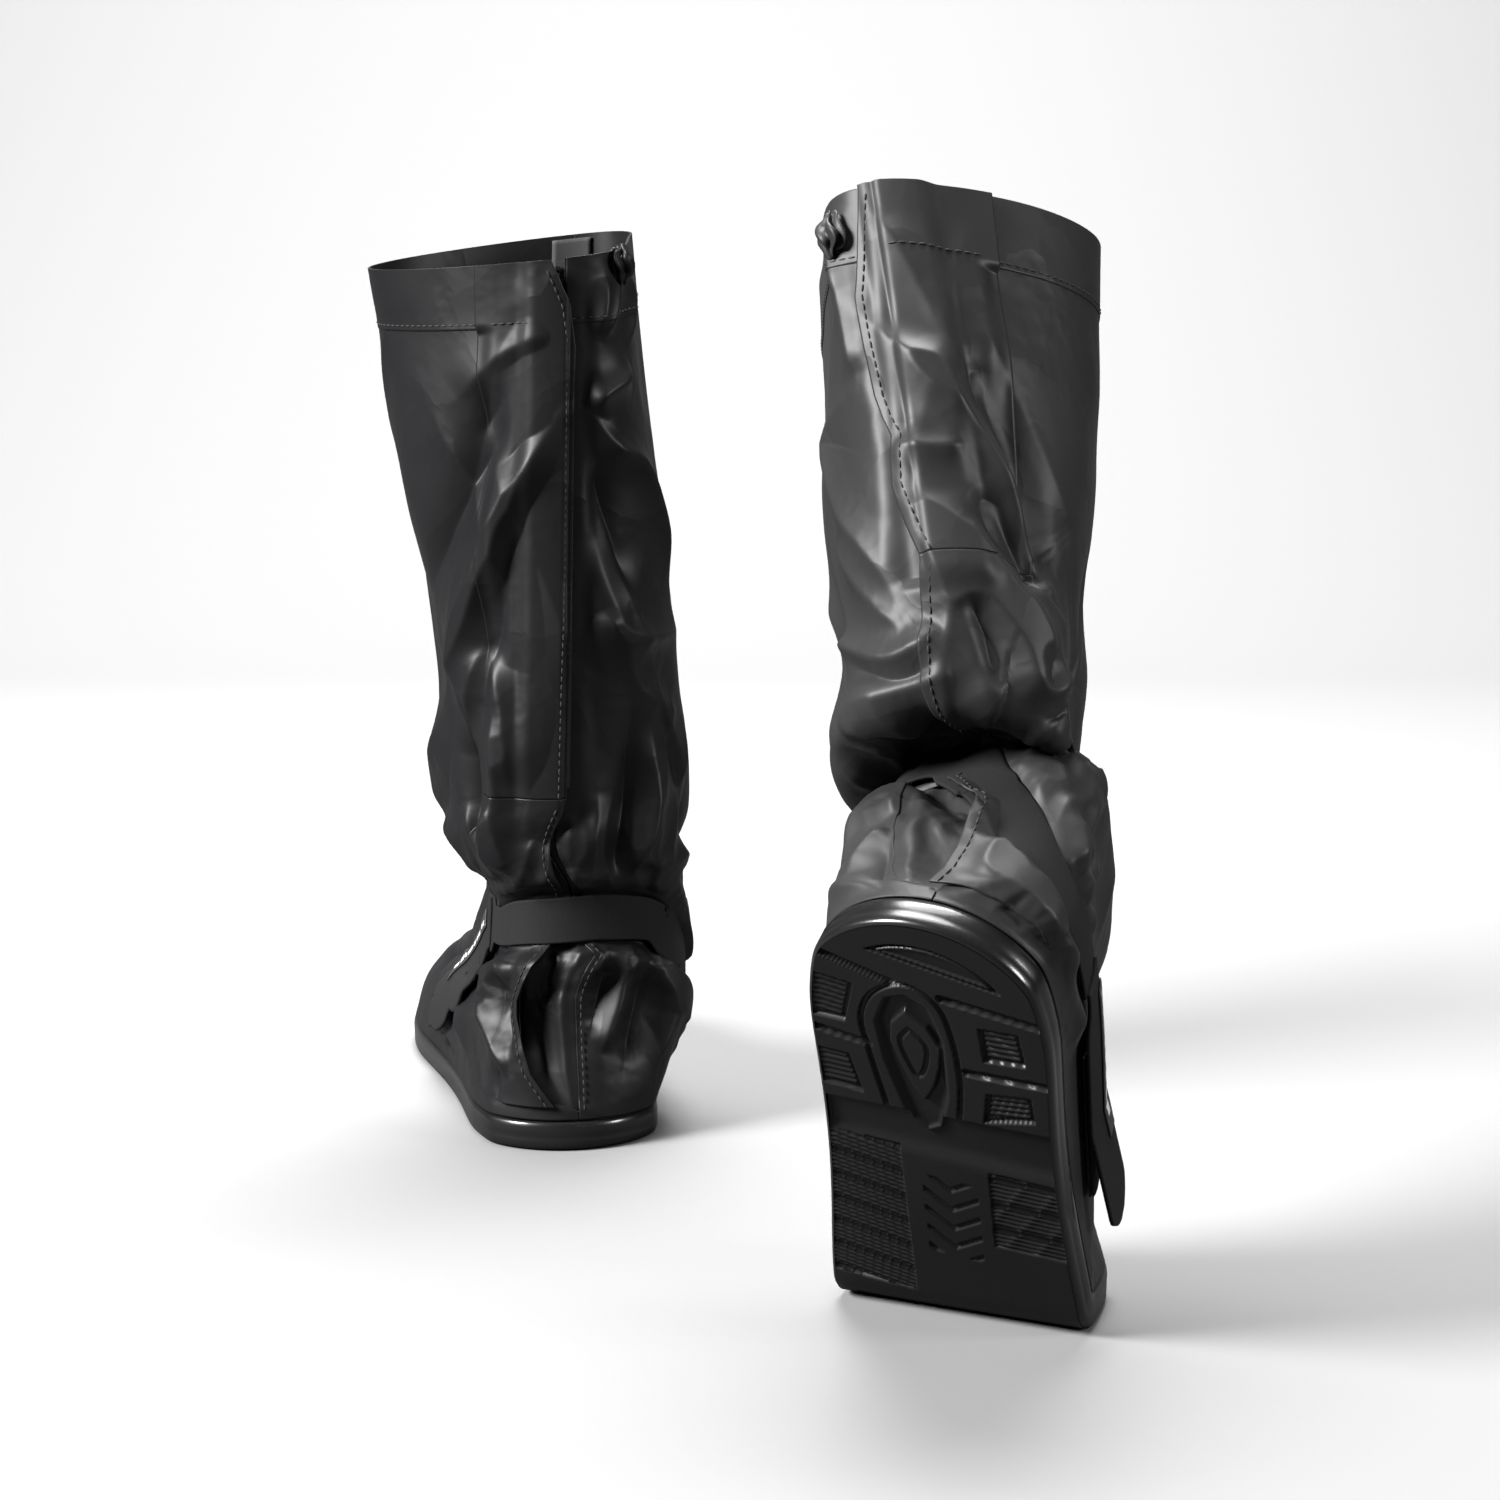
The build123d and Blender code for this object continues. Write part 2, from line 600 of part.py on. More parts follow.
# ---- the whole boot ----
def build_boot(name, data):
    boot = Boot(name, **data)
    boot.v_straight = boot.v_of_zip(boot.straight_from)
    tape_low, tape_high = 5.2, boot.below_rim(1.5)
    coil_low = boot.v_of_zip(boot.straight_from + 6)
    coil_high = boot.v_of_zip(boot.zip_high.Z - 6.5)
    rest = boot.zip_high.Z - 14.0
    frame = zip_frame(boot, rest)
    strap_path, tab_path = strap_paths(boot)
    pieces = {
        "outsole": treaded(boot, plate(boot, sole_lip, 0, sole_thickness)),
        "insole_board": plate(boot, -board_inset, sole_thickness + layer_gap,
                              sole_thickness + layer_gap + board_thickness),
        "medial_panel": panel(boot, 1),
        "lateral_panel": panel(boot, -1),
        "front_seam_tape": front_seam_tape(boot),
        "hem_band": hem_band(boot),
        "cuff_elastic": cuff_elastic(boot),
        "shin_reflector": shin_reflector(boot),
        "heel_gusset": heel_gusset(boot),
        "heel_flap": heel_flap(boot),
        "zip_tape_medial": zip_strip(boot, 1, coil_inner, tape_width, inside, binding - 0.2,
                                     tape_low, tape_high),
        "zip_tape_lateral": zip_strip(boot, -1, coil_inner, tape_width, inside, binding - 0.2,
                                      tape_low, tape_high),
        "zip_coil": Compound([zip_strip(boot, way, coil_inner, coil_inner + coil_width, -0.2,
                                        coil_height, coil_low, coil_high)
                              for way in (-1, 1)]),
        "zip_slider": slider_body(frame),
        "zip_puller": puller_body(frame),
        "zip_stops": zip_stops(boot, boot.straight_from + 3, boot.zip_high.Z - 4),
        "storm_flap": storm_flap(boot),
        "flap_loop_strip": flap_strip(boot, outside),
        "flap_hook_strip": flap_strip(boot, outside + binding + layer_gap),
        "ankle_strap": ribbon(boot, strap_path, strap_width / 2, strap_height,
                              strap_thickness),
        "strap_anchor": ribbon(boot, strap_path[-5:], strap_width / 2 + 3, outside, 0.8),
        "tab_loop_pad": ribbon(boot, tab_path[2:-4], tab_pad_width / 2, outside, binding),
        "tab_hook_pad": ribbon(boot, tab_path[2:-4], tab_pad_width / 2 - 1,
                               outside + binding + layer_gap, hook_thickness),
        "strap_tab": ribbon(boot, tab_path,
                            lambda t: tab_width / 2 * (0.7 + 0.3 * smooth(t * 4)),
                            outside + 2 * (binding + layer_gap), tab_thickness),
        "tab_label": ribbon(boot, tab_path[5:-2], label_width / 2,
                            outside + 2 * (binding + layer_gap) + tab_thickness + layer_gap,
                            0.6),
    }
    for node, shape in pieces.items():
        export_step(shape, f"parts/{name}_{node}.step")
    report_axes(boot, frame, tab_path)


def report_axes(boot, frame, tab_path):
    """Prints the joint axes in metres, for the part's record."""
    def metres(vector):
        return [round(c / 1000, 6) for c in vector]
    low, high = hinge_line(boot)
    pin = frame.origin + frame.z_dir * pin_height
    print(boot.name, "zip up", [round(c, 6) for c in frame.y_dir],
          "across", [round(c, 6) for c in frame.x_dir])
    print(boot.name, "slide", (frame.origin - boot.zip_point(boot.straight_from + 14)).length)
    print(boot.name, "puller pin", metres(pin))
    print(boot.name, "flap hinge", metres(low), metres(high))
    u, v = tab_path[-1]
    p, along_u, along_v, normal = boot.frame(u, v)
    step = tab_path[-2]
    along = (along_u * (step[0] - u) + along_v * (step[1] - v)).normalized()
    root = p + normal * (outside + 2 * (binding + layer_gap) + tab_thickness)
    print(boot.name, "tab hinge", metres(root), [round(c, 6) for c in along.cross(normal)])


os.makedirs("parts", exist_ok=True)
for boot_name, boot_data in boots.items():
    build_boot(boot_name, boot_data)
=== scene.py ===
import math
import bpy
import numpy as np
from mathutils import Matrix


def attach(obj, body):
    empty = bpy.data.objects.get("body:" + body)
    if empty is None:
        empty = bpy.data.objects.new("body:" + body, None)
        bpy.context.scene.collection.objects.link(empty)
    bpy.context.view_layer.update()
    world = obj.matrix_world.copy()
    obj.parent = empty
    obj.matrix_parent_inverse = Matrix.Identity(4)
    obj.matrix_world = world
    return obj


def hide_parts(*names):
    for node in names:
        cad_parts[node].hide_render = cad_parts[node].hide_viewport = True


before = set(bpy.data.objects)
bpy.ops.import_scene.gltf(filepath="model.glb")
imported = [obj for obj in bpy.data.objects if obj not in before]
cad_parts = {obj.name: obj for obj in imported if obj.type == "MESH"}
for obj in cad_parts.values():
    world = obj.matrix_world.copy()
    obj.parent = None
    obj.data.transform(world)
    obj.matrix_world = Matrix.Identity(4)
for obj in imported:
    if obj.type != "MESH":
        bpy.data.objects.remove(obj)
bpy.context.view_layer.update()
print("frame loaded")

mm = 0.001
full = 2 * math.pi

# the camera: place in metres, pitch in degrees, focal length in pixels of a frame 1500 wide
view = dict(place=(0.0216, -1.3003, 0.367), pitch=7.4, focal=2890.0, size=1500.0, sensor=36.0)

camera = bpy.data.objects.new("camera", bpy.data.cameras.new("camera"))
camera.data.sensor_width = view["sensor"]
camera.data.lens = view["focal"] / view["size"] * view["sensor"]
camera.data.clip_start, camera.data.clip_end = 0.05, 60
camera.location = view["place"]
camera.rotation_euler = (math.radians(90 - view["pitch"]), 0, 0)
bpy.context.scene.collection.objects.link(camera)
bpy.context.scene.camera = camera


def seenAt(points):
    # pixel place of points given in millimetres
    eye = np.array(view["place"]) / mm
    x, y, z = np.moveaxis(points - eye, -1, 0)
    c, s = math.cos(math.radians(view["pitch"])), math.sin(math.radians(view["pitch"]))
    depth = y * c - z * s
    middle = view["size"] / 2
    return (middle + view["focal"] * x / depth,
            middle + view["focal"] * (-z * c - y * s) / depth)


# the cloth form of the pair, in millimetres: rings of the foot from the sole up
# height, sideways shift, rear centre, rear arc, rear half, front centre, front arc, front half, waist
sole = dict(thick=14.0, lip=1.5, ball=213.0, bendLength=26.0, fan=0.75)
footRings = [
    (14, 1, 46, 46, 46, 228, 60, 55, 5), (30, 5, 47, 46, 48, 226, 60, 54, 3),
    (50, 9, 50, 45, 49, 200, 66, 49, 0), (70, 13, 54, 45, 48, 132, 80, 45, 0),
    (86, 15, 58, 45, 46, 102, 66, 43, 0), (98, 15, 60, 45, 44, 92, 55, 42, 0),
    (121, 14, 61, 45, 43, 88, 49, 41, 0)]

# side, ground place of the pivot, pivot in the foot, toe-out, heel lift, slant of the ball line,
# ends of the zip line, shaft rings (height on the zip, centre x, half width, half depth, tilts, push);
# the strap's middle line as degrees round the heel or place from the heel, with height
boots = {
    "left": dict(
        side=-1, place=(-92, 1389), pivot=(0, 46), toeOut=13, heelLift=0, slant=0, straight=170,
        band=dict(back=[(-60, 100), (-35, 106.5), (-5, 109), (20, 109), (47, 102), (62, 90)],
                  tab=[(57, 97), (76, 86), (104, 68), (140, 48), (176, 29)],
                  medial=[(48, 77), (68, 60), (90, 46)]),
        zipLine=((-97, 1352, 120), (-88.5, 1326, 419)),
        shaft=[(147, -89, 58, 64, 6, -1, 0), (167, -91, 61, 67, 6, 0, 0),
               (215, -92, 56.5, 67, 6, 2, 0), (300, -105, 60.5, 70, 6, 0, 0),
               (419, -120, 61.5, 73, 7, -6, 0)]),
    "right": dict(
        side=1, place=(83, 1098), pivot=(0, 213), toeOut=-19, heelLift=57, slant=-9, straight=299,
        band=dict(back=[(-58, 48), (-32, 54), (-12, 70), (10, 89), (28, 99), (50, 103)],
                  tab=[(62, 50), (86, 48), (114, 45), (144, 40), (174, 33)],
                  medial=[(57, 99), (80, 82), (104, 58)]),
        zipLine=((75, 1060, 285), (54, 1121, 438)),
        shaft=[(250, 80, 47, 62, -34, 10, 5), (285, 85, 45, 64, -26, 4, 0),
               (297, 84, 46, 66, -24, 2, 0), (350, 84, 52, 70, -20, 0, 0),
               (438, 86, 55, 75, -17, 0, 0)]),
}
worldShift = (21.6, -1300.3)


def smooth(t):
    t = np.clip(t, 0.0, 1.0)
    return t * t * t * (t * (6 * t - 15) + 10)


def bell(t):
    return np.exp(-t * t)


def turned(p, axis, degrees):
    x, y, z = p
    c, s = math.cos(math.radians(degrees)), math.sin(math.radians(degrees))
    if axis == "X":
        return x, c * y - s * z, s * y + c * z
    if axis == "Y":
        return c * x + s * z, y, c * z - s * x
    return c * x - s * y, s * x + c * y, z


def footSection(u, shift, rear, rearArc, rearHalf, front, frontArc, frontHalf, waist):
    t = np.abs((u + math.pi) % full - math.pi) / math.pi
    s = smooth((t - 0.3) / 0.4)
    arc = rearArc + (frontArc - rearArc) * s
    half = rearHalf + (frontHalf - rearHalf) * s
    half = half - waist * np.maximum(0.0, 1 - ((t - 0.49) / 0.1) ** 2) ** 2
    return half * np.sin(u) + shift * np.sin(u) ** 2, rear + (front - rear) * s - arc * np.cos(u)


class BootForm:
    # points of the cloth on a fine grid: rows run from sole to rim, columns round the leg
    columns, pitch = 720, 0.8

    def __init__(self, name):
        self.name = name
        self.__dict__.update(boots[name])
        self.zipLow, self.zipHigh = (np.array(p, float) for p in self.zipLine)
        self.top = len(footRings) + len(self.shaft) - 1
        self.u = np.linspace(-math.pi, math.pi, self.columns + 1)
        rings = [self.ring(i) for i in range(self.top + 1)]
        middle = self.columns // 2
        even = np.linspace(0, self.top, self.top * 30 + 1)
        spine = [self.between([ring[middle:middle + 1] for ring in rings], v)[0] for v in even]
        run = np.concatenate([[0], np.cumsum(np.linalg.norm(np.diff(spine, axis=0), axis=-1))])
        self.v = np.interp(np.arange(0, run[-1] + self.pitch, self.pitch), run, even)
        self.base = np.array([self.between(rings, v) for v in self.v])
        self.lift = np.zeros(self.base.shape[:2])
        self.run = np.arange(len(self.v)) * self.pitch
        self.points = self.base
        self.baseNormals = self.facing(self.base)
        self.vStraight = self.vAtZip(self.straight)

    def bend(self, x, y, z):
        # the foot with its heel lifted: it rolls up over the ball
        if not self.heelLift:
            return x, y, z
        angle = math.radians(self.heelLift)
        a, b, _ = turned((x, y, z), "Z", -self.slant)
        ball = sole["ball"] * math.cos(math.radians(self.slant))
        back = ball - b
        half = sole["bendLength"] / 2
        k = angle / sole["bendLength"]
        t = np.clip(back + half, 0.0, 2 * half)
        low = np.minimum(z, sole["thick"])
        along = np.where(t == 0, -back, half - np.sin(k * t) / k)
        up = (1 - np.cos(k * t)) / k
        rest = np.maximum(back - half, 0)
        along = along - rest * math.cos(angle) + low * np.sin(k * t)
        up = up + rest * math.sin(angle) + low * np.cos(k * t)
        wide = half + sole["fan"] * (z - low)
        turn = angle * np.clip((back + wide) / (2 * wide), 0.0, 1.0)
        along = along + (z - low) * np.sin(turn)
        up = up + (z - low) * np.cos(turn)
        return turned((a, ball + along, up), "Z", self.slant)

    def foot(self, x, y, z):
        # from the foot's own frame to the pair's
        px, py, pz = self.bend(-self.side * x, y, z + 0 * x)
        px, py, pz = turned((px - self.pivot[0], py - self.pivot[1], pz), "Z", self.toeOut)
        return np.stack([px + self.place[0] + worldShift[0], py + self.place[1] + worldShift[1], pz], -1)

    def zipPoint(self, z):
        t = (z - self.zipLow[2]) / (self.zipHigh[2] - self.zipLow[2])
        return self.zipLow + (self.zipHigh - self.zipLow) * t + np.array([*worldShift, 0])

    def ring(self, i):
        if i < len(footRings):
            height, *section = footRings[i]
            x, y = footSection(self.u, *section)
            return self.foot(x, y, float(height))
        z, centre, half, depth, tiltX, tiltY, push = self.shaft[i - len(footRings)]
        origin = self.zipPoint(z)
        m = -self.side * self.u
        shift = centre + worldShift[0] - origin[0]
        p = (half * np.sin(m) + shift * np.sin(m) ** 2, depth * (1 - np.cos(m)), 0 * m)
        p = turned(turned(p, "Y", tiltY), "X", tiltX)
        return np.stack(p, -1) + origin + np.array([0, push, 0])

    def between(self, rings, v):
        # a smooth ring between the given ones
        i = min(int(v), self.top - 1)
        t = v - i
        p1, p2 = rings[i], rings[i + 1]
        p0 = rings[i - 1] if i else 2 * p1 - p2
        p3 = rings[i + 2] if i + 2 <= self.top else 2 * p2 - p1
        a, b, c = (np.linalg.norm(d, axis=-1, keepdims=True) for d in (p1 - p0, p2 - p1, p3 - p2))
        m1 = ((p1 - p0) / a - (p2 - p0) / (a + b) + (p2 - p1) / b) * b
        m2 = ((p2 - p1) / b - (p3 - p1) / (b + c) + (p3 - p2) / c) * b
        t2, t3 = t * t, t * t * t
        return (p1 * (2 * t3 - 3 * t2 + 1) + m1 * (t3 - 2 * t2 + t)
                + p2 * (3 * t2 - 2 * t3) + m2 * (t3 - t2))

    def facing(self, points):
        # outward normals of a grid that closes round the leg
        wrapped = np.concatenate([points[:, -2:-1], points, points[:, 1:2]], 1)
        alongU = wrapped[:, 2:] - wrapped[:, :-2]
        alongV = np.gradient(points, axis=0)
        normals = np.cross(alongU, alongV) * -self.side
        return normals / np.maximum(np.linalg.norm(normals, axis=-1, keepdims=True), 1e-9)

    def settle(self):
        # puts the folds into the cloth
        self.points = self.base + self.baseNormals * self.lift[..., None]

    def rowOf(self, v):
        return np.interp(v, self.v, np.arange(len(self.v)))

    def vOf(self, row):
        return np.interp(row, np.arange(len(self.v)), self.v)

    def at(self, u, v, height=0.0, plain=False):
        # points over the cloth; plain leaves the folds out
        u, v = np.broadcast_arrays(np.asarray(u, float), np.asarray(v, float))
        col = ((u + math.pi) % full) / full * self.columns
        row = self.rowOf(v)
        c, r = np.minimum(col.astype(int), self.columns - 1), np.minimum(row.astype(int), len(self.v) - 2)
        a, b = (col - c)[..., None], (row - r)[..., None]
        points, normals = self.base if plain else self.points, self.baseNormals

        def mixed(grid):
            return (grid[r, c] * (1 - a) * (1 - b) + grid[r, c + 1] * a * (1 - b)
                    + grid[r + 1, c] * (1 - a) * b + grid[r + 1, c + 1] * a * b)
        return mixed(points) + mixed(normals) * np.asarray(height, float)[..., None]

    def angleOf(self, width, v, at=0.0):
        # the turn round the leg that a width in mm takes up
        step = 0.02
        across = self.at(at + step, v, plain=True) - self.at(at - step, v, plain=True)
        return width * 2 * step / np.linalg.norm(across, axis=-1)

    def heightV(self, height):
        # v at a height over the ground on the foot
        return np.interp(height, [ring[0] for ring in footRings], range(len(footRings)))

    def belowRim(self, distance):
        last = np.linalg.norm(self.at(0, self.top, plain=True) - self.at(0, self.top - 1, plain=True))
        return self.top - distance / last

    def vAtZip(self, z):
        zs = self.base[:, self.columns // 2, 2]
        first = int(self.rowOf(len(footRings)))
        return float(np.interp(z, zs[first:], self.v[first:]))

    def nearest(self, pixel, low, high):
        # the (row, column) of the cloth that the camera sees at a pixel, between two v
        if "pixels" not in self.__dict__:
            eye = np.array(view["place"]) / mm
            away = np.einsum("ijk,ijk->ij", self.base - eye, self.baseNormals) > 0
            self.pixels = np.stack(seenAt(self.base + self.baseNormals), -1)
            self.pixels[away] = -9999
        a, b = (int(self.rowOf(v)) for v in (low, high))
        miss = np.hypot(*np.moveaxis(self.pixels[a:b + 1] - np.array(pixel), -1, 0))
        row, col = np.unravel_index(miss.argmin(), miss.shape)
        return a + row, col


def edgeWidths(form):
    # v and signed distance from the zip line of three lines: flap edge, lip, far side
    lines = {}
    parts = dict(flap=(form.vStraight - 0.6, form.top), lip=footPart, far=(0, 6.0))
    for key, (low, high) in parts.items():
        found = []
        for pixel in edges[form.name][key]:
            row, col = form.nearest(pixel, low, high)
            v = form.v[row]
            turn = -math.pi + col / form.columns * full
            found.append((v, turn / form.angleOf(1.0, np.array([v]))[0]))
        lines[key] = np.array(sorted(found)).T
    return lines


def curve(points, count):
    # a smooth curve through points, each any number of values
    points = np.array(points, float)
    last = len(points) - 1
    rows = []
    for s in np.linspace(0, last, count):
        i = min(int(s), last - 1)
        t = s - i
        p0, p1, p2, p3 = (points[min(max(k, 0), last)] for k in range(i - 1, i + 3))
        rows.append(0.5 * (2 * p1 + (p2 - p0) * t + (2 * p0 - 5 * p1 + 4 * p2 - p3) * t * t
                           + (3 * p1 - p0 - 3 * p2 + p3) * t ** 3))
    return np.array(rows)


# folds: pixels of the crest, rise and width in mm; low and high v keep them on one part
shaftPart, footPart = (6.3, 11.0), (0.0, 6.6)
foldsLeft = dict(
    longDrape=([(557, 417), (513, 497), (473, 603), (450, 703)], 9.0, 7, shaftPart),
    longValley=([(540, 380), (492, 450), (440, 540), (420, 600)], -6.5, 8, shaftPart),
    drapeValley=([(560, 450), (528, 540), (500, 640), (486, 700)], -5.0, 7, shaftPart),
    highDrape=([(557, 330), (507, 353), (455, 400)], 3.6, 7, shaftPart),
    highValley=([(562, 350), (520, 385), (470, 440)], -3.0, 6, shaftPart),
    lowApexA=([(487, 640), (472, 700), (468, 760)], 4.5, 6, shaftPart),
    lowApexB=([(487, 640), (508, 710), (512, 790)], 4.5, 6, shaftPart),
    lowValley=([(468, 690), (470, 780), (502, 890)], -7.0, 6, shaftPart),
    lowRidge=([(500, 700), (499, 800), (512, 890)], 6.0, 6, shaftPart),
    sideRoll=([(452, 712), (437, 765), (437, 820)], 4.0, 7, shaftPart),
    sideCrease=([(437, 820), (455, 850), (487, 885)], 5.0, 5, shaftPart),
    strapFoldA=([(500, 893), (480, 850), (462, 800)], 5.0, 4.5, shaftPart),
    strapFoldB=([(520, 893), (527, 862), (540, 830)], 3.6, 4, shaftPart),
    strapFoldC=([(545, 890), (549, 862), (556, 840)], 3.0, 3.5, shaftPart),
    strapFoldD=([(585, 893), (590, 850), (600, 790)], 3.6, 5, shaftPart),
    strapFoldE=([(627, 885), (634, 849), (649, 817), (649, 711)], 6.0, 5, shaftPart),
    strapFoldF=([(648, 898), (660, 868), (682, 838)], 6.0, 4.5, shaftPart),
    strapValleyE=([(612, 890), (622, 840), (632, 780), (630, 700)], -6.0, 6, shaftPart),
    rightZigA=([(630, 367), (606, 390), (587, 407)], 6.0, 5, shaftPart),
    rightZigB=([(587, 407), (613, 447), (637, 467), (657, 537), (670, 620)], 6.5, 5, shaftPart),
    rightValley=([(592, 450), (612, 520), (632, 600)], -7.0, 8, shaftPart),
    rightZigC=([(600, 607), (623, 637), (673, 630)], 5.0, 5, shaftPart),
    rightLow=([(590, 520), (612, 610), (640, 690), (684, 720)], 3.0, 7, shaftPart),
    rimFoldA=([(604, 275), (602, 300), (594, 335)], 3.4, 3, shaftPart),
    rimFoldB=([(616, 268), (613, 300), (600, 345)], 3.4, 3, shaftPart),
    rimFoldC=([(625, 270), (630, 300), (626, 350)], 3.0, 4, shaftPart),
    heelFoldA=([(584, 929), (593, 955), (586, 975), (582, 1010)], 3.6, 3.5, footPart),
    heelFoldB=([(628, 935), (617, 1000), (601, 1056)], 5.5, 4.5, footPart),
    heelFoldC=([(655, 945), (668, 995), (662, 1032), (648, 1084)], 5.0, 5, footPart),
    heelFoldD=([(513, 947), (492, 995), (498, 1045), (514, 1078)], 5.0, 4.5, footPart),
    heelFoldE=([(488, 952), (466, 1000), (470, 1060)], 4.0, 5, footPart),
    heelValleyD=([(505, 960), (508, 1010), (520, 1060)], -4.5, 4, footPart),
    heelValleyB=([(606, 950), (600, 1000), (590, 1040)], -4.5, 4.5, footPart),
    heelHollow=([(642, 950), (638, 1010), (625, 1070)], -4.5, 5, footPart),
)
foldsRight = dict(
    diagonalA=([(863, 313), (907, 357), (947, 403), (993, 473), (1033, 567), (1057, 625)], 8.5, 6, shaftPart),
    diagonalAValley=([(947, 350), (987, 423), (1033, 533), (1056, 580)], -7.5, 7, shaftPart),
    diagonalB=([(903, 503), (967, 557), (1013, 617), (1053, 673)], 8.0, 6, shaftPart),
    diagonalBValley=([(967, 490), (1013, 557), (1036, 600)], -7.0, 7, shaftPart),
    diagonalC=([(937, 550), (980, 587), (1013, 640), (1023, 690)], 6.0, 5, shaftPart),
    diagonalCValley=([(955, 590), (985, 640), (1000, 690)], -6.0, 6, shaftPart),
    highFold=([(960, 300), (1005, 380), (1050, 480), (1078, 560)], 2.6, 9, shaftPart),
    flapTug=([(898, 450), (930, 455), (960, 452)], 3.0, 4, shaftPart),
    leftZig=([(853, 393), (830, 440), (843, 500), (880, 560), (900, 600)], 4.0, 6, shaftPart),
    leftFoldA=([(838, 520), (870, 590), (915, 640)], 4.0, 6, shaftPart),
    leftFoldB=([(850, 640), (890, 660), (947, 630)], 7.0, 5, shaftPart),
    leftValleyB=([(858, 665), (900, 680), (945, 660)], -5.0, 5, shaftPart),
    leftFoldC=([(853, 707), (907, 686), (957, 673)], 6.5, 5, shaftPart),
    leftFoldD=([(841, 732), (895, 715), (937, 723)], 6.0, 5, shaftPart),
    kneeHollow=([(930, 705), (985, 735), (1050, 745)], -8.5, 11, shaftPart),
    rollRight=([(1020, 640), (1028, 686), (1045, 694), (1064, 665)], 6.5, 5, shaftPart),
    rollLow=([(978, 757), (1020, 752), (1037, 715)], 5.0, 5, shaftPart),
    rollSide=([(1091, 811), (1037, 848)], 4.5, 5, shaftPart),
    bunchA=([(850, 205), (838, 245), (846, 300)], 4.0, 4, shaftPart),
    bunchB=([(842, 262), (850, 330), (858, 380)], 3.4, 4, shaftPart),
    facetA=([(929, 896), (983, 896), (1029, 893)], 5.0, 4.5, footPart),
    facetB=([(983, 896), (1012, 939), (1033, 965)], 5.5, 4.5, footPart),
    facetC=([(1020, 865), (1033, 898), (1046, 955)], 4.0, 4.5, footPart),
    facetD=([(1003, 850), (985, 896)], 4.0, 4, footPart),
    facetValley=([(1003, 905), (1022, 935)], -3.6, 4, footPart),
    heelRollA=([(905, 898), (860, 888), (822, 905)], 4.0, 4.5, footPart),
    heelRollB=([(930, 790), (880, 815), (838, 870)], 5.0, 5, footPart),
    heelRollC=([(893, 830), (868, 850), (850, 885)], 3.6, 4, footPart),
)
# pixels along the flap's free edge, from the rim to the sole; along the other side of the heel's
# opening; and at the gathered knot by the rim
edges = dict(
    left=dict(
        flap=[(550, 243), (561, 281), (570, 306), (574, 349), (573, 400), (572, 560), (568, 700),
              (565, 800)],
        lip=[(563, 893), (555, 935), (540, 965), (524, 1002), (523, 1018), (527, 1045), (532, 1073),
             (543, 1091), (556, 1108)],
        far=[(580, 934), (590, 955), (580, 976), (575, 1000), (574, 1040), (572, 1085), (566, 1110)],
        knot=(616, 264)),
    right=dict(
        flap=[(862, 192), (862, 250), (862, 300), (880, 400), (897, 440), (900, 490), (925, 560),
              (948, 600)],
        lip=[(950, 787), (964, 804), (977, 808), (975, 823), (962, 852), (945, 875), (918, 893)],
        far=[(915, 795), (895, 830), (890, 860), (900, 885), (912, 896)],
        knot=(842, 236)),
)


# broad and rise scale every fold; taper is the share of its length over which it fades
creaseShape = dict(broad=1.55, rise=1.2, taper=0.34, steps=16, reach=5, flat=0.15, column=0.42)


def crest(distance, width):
    # a fold's cross section: a crisp ridge on a wide soft base
    d = distance / (width * creaseShape["broad"])
    return 0.8 * np.exp(-(np.sqrt(d * d + 0.008) - 0.09) * 1.2) + 0.2 * bell(d / 1.1)


def addStroke(form, cells, rise, width):
    # cells are (row, column) points of the crest
    path = curve(cells, creaseShape["steps"])
    rows, cols = path[:, 0], path[:, 1]
    spots = form.at(-math.pi + cols / form.columns * full, form.vOf(rows), plain=True)
    reach = creaseShape["reach"] * width
    low, high = (form.run[int(np.clip(r, 0, len(form.v) - 1))] for r in (rows.min(), rows.max()))
    a, b = np.searchsorted(form.run, (low - reach, high + reach))
    beside = reach / creaseShape["column"]
    c, d = int(cols.min() - beside), int(cols.max() + beside)
    picked = np.arange(form.columns) if d - c >= form.columns else np.arange(c, d) % form.columns
    block = form.base[a:b][:, picked]
    best = np.full(block.shape[:2], 1e9)
    along = np.zeros(block.shape[:2])
    for i, (spot, after) in enumerate(zip(spots[:-1], spots[1:])):
        step = after - spot
        t = np.clip((block - spot) @ step / max(step @ step, 1e-6), 0, 1)
        d = np.linalg.norm(block - spot - t[..., None] * step, axis=-1)
        closer = d < best
        best[closer] = d[closer]
        along[closer] = (i + t[closer]) / (len(spots) - 1)
    ends = smooth(along / creaseShape["taper"]) * smooth((1 - along) / creaseShape["taper"])
    share = creaseShape["flat"] + (1 - creaseShape["flat"]) * ends
    fade = smooth((reach - best) / (0.4 * reach))
    form.lift[a:b, picked] += rise * creaseShape["rise"] * crest(best, width) * share * fade
    form.lift[:, -1] = form.lift[:, 0]


def foldByPixels(form, folds):
    for points, rise, width, (low, high) in folds.values():
        cells = [form.nearest(p, low, high) for p in points]
        addStroke(form, cells, rise, width)


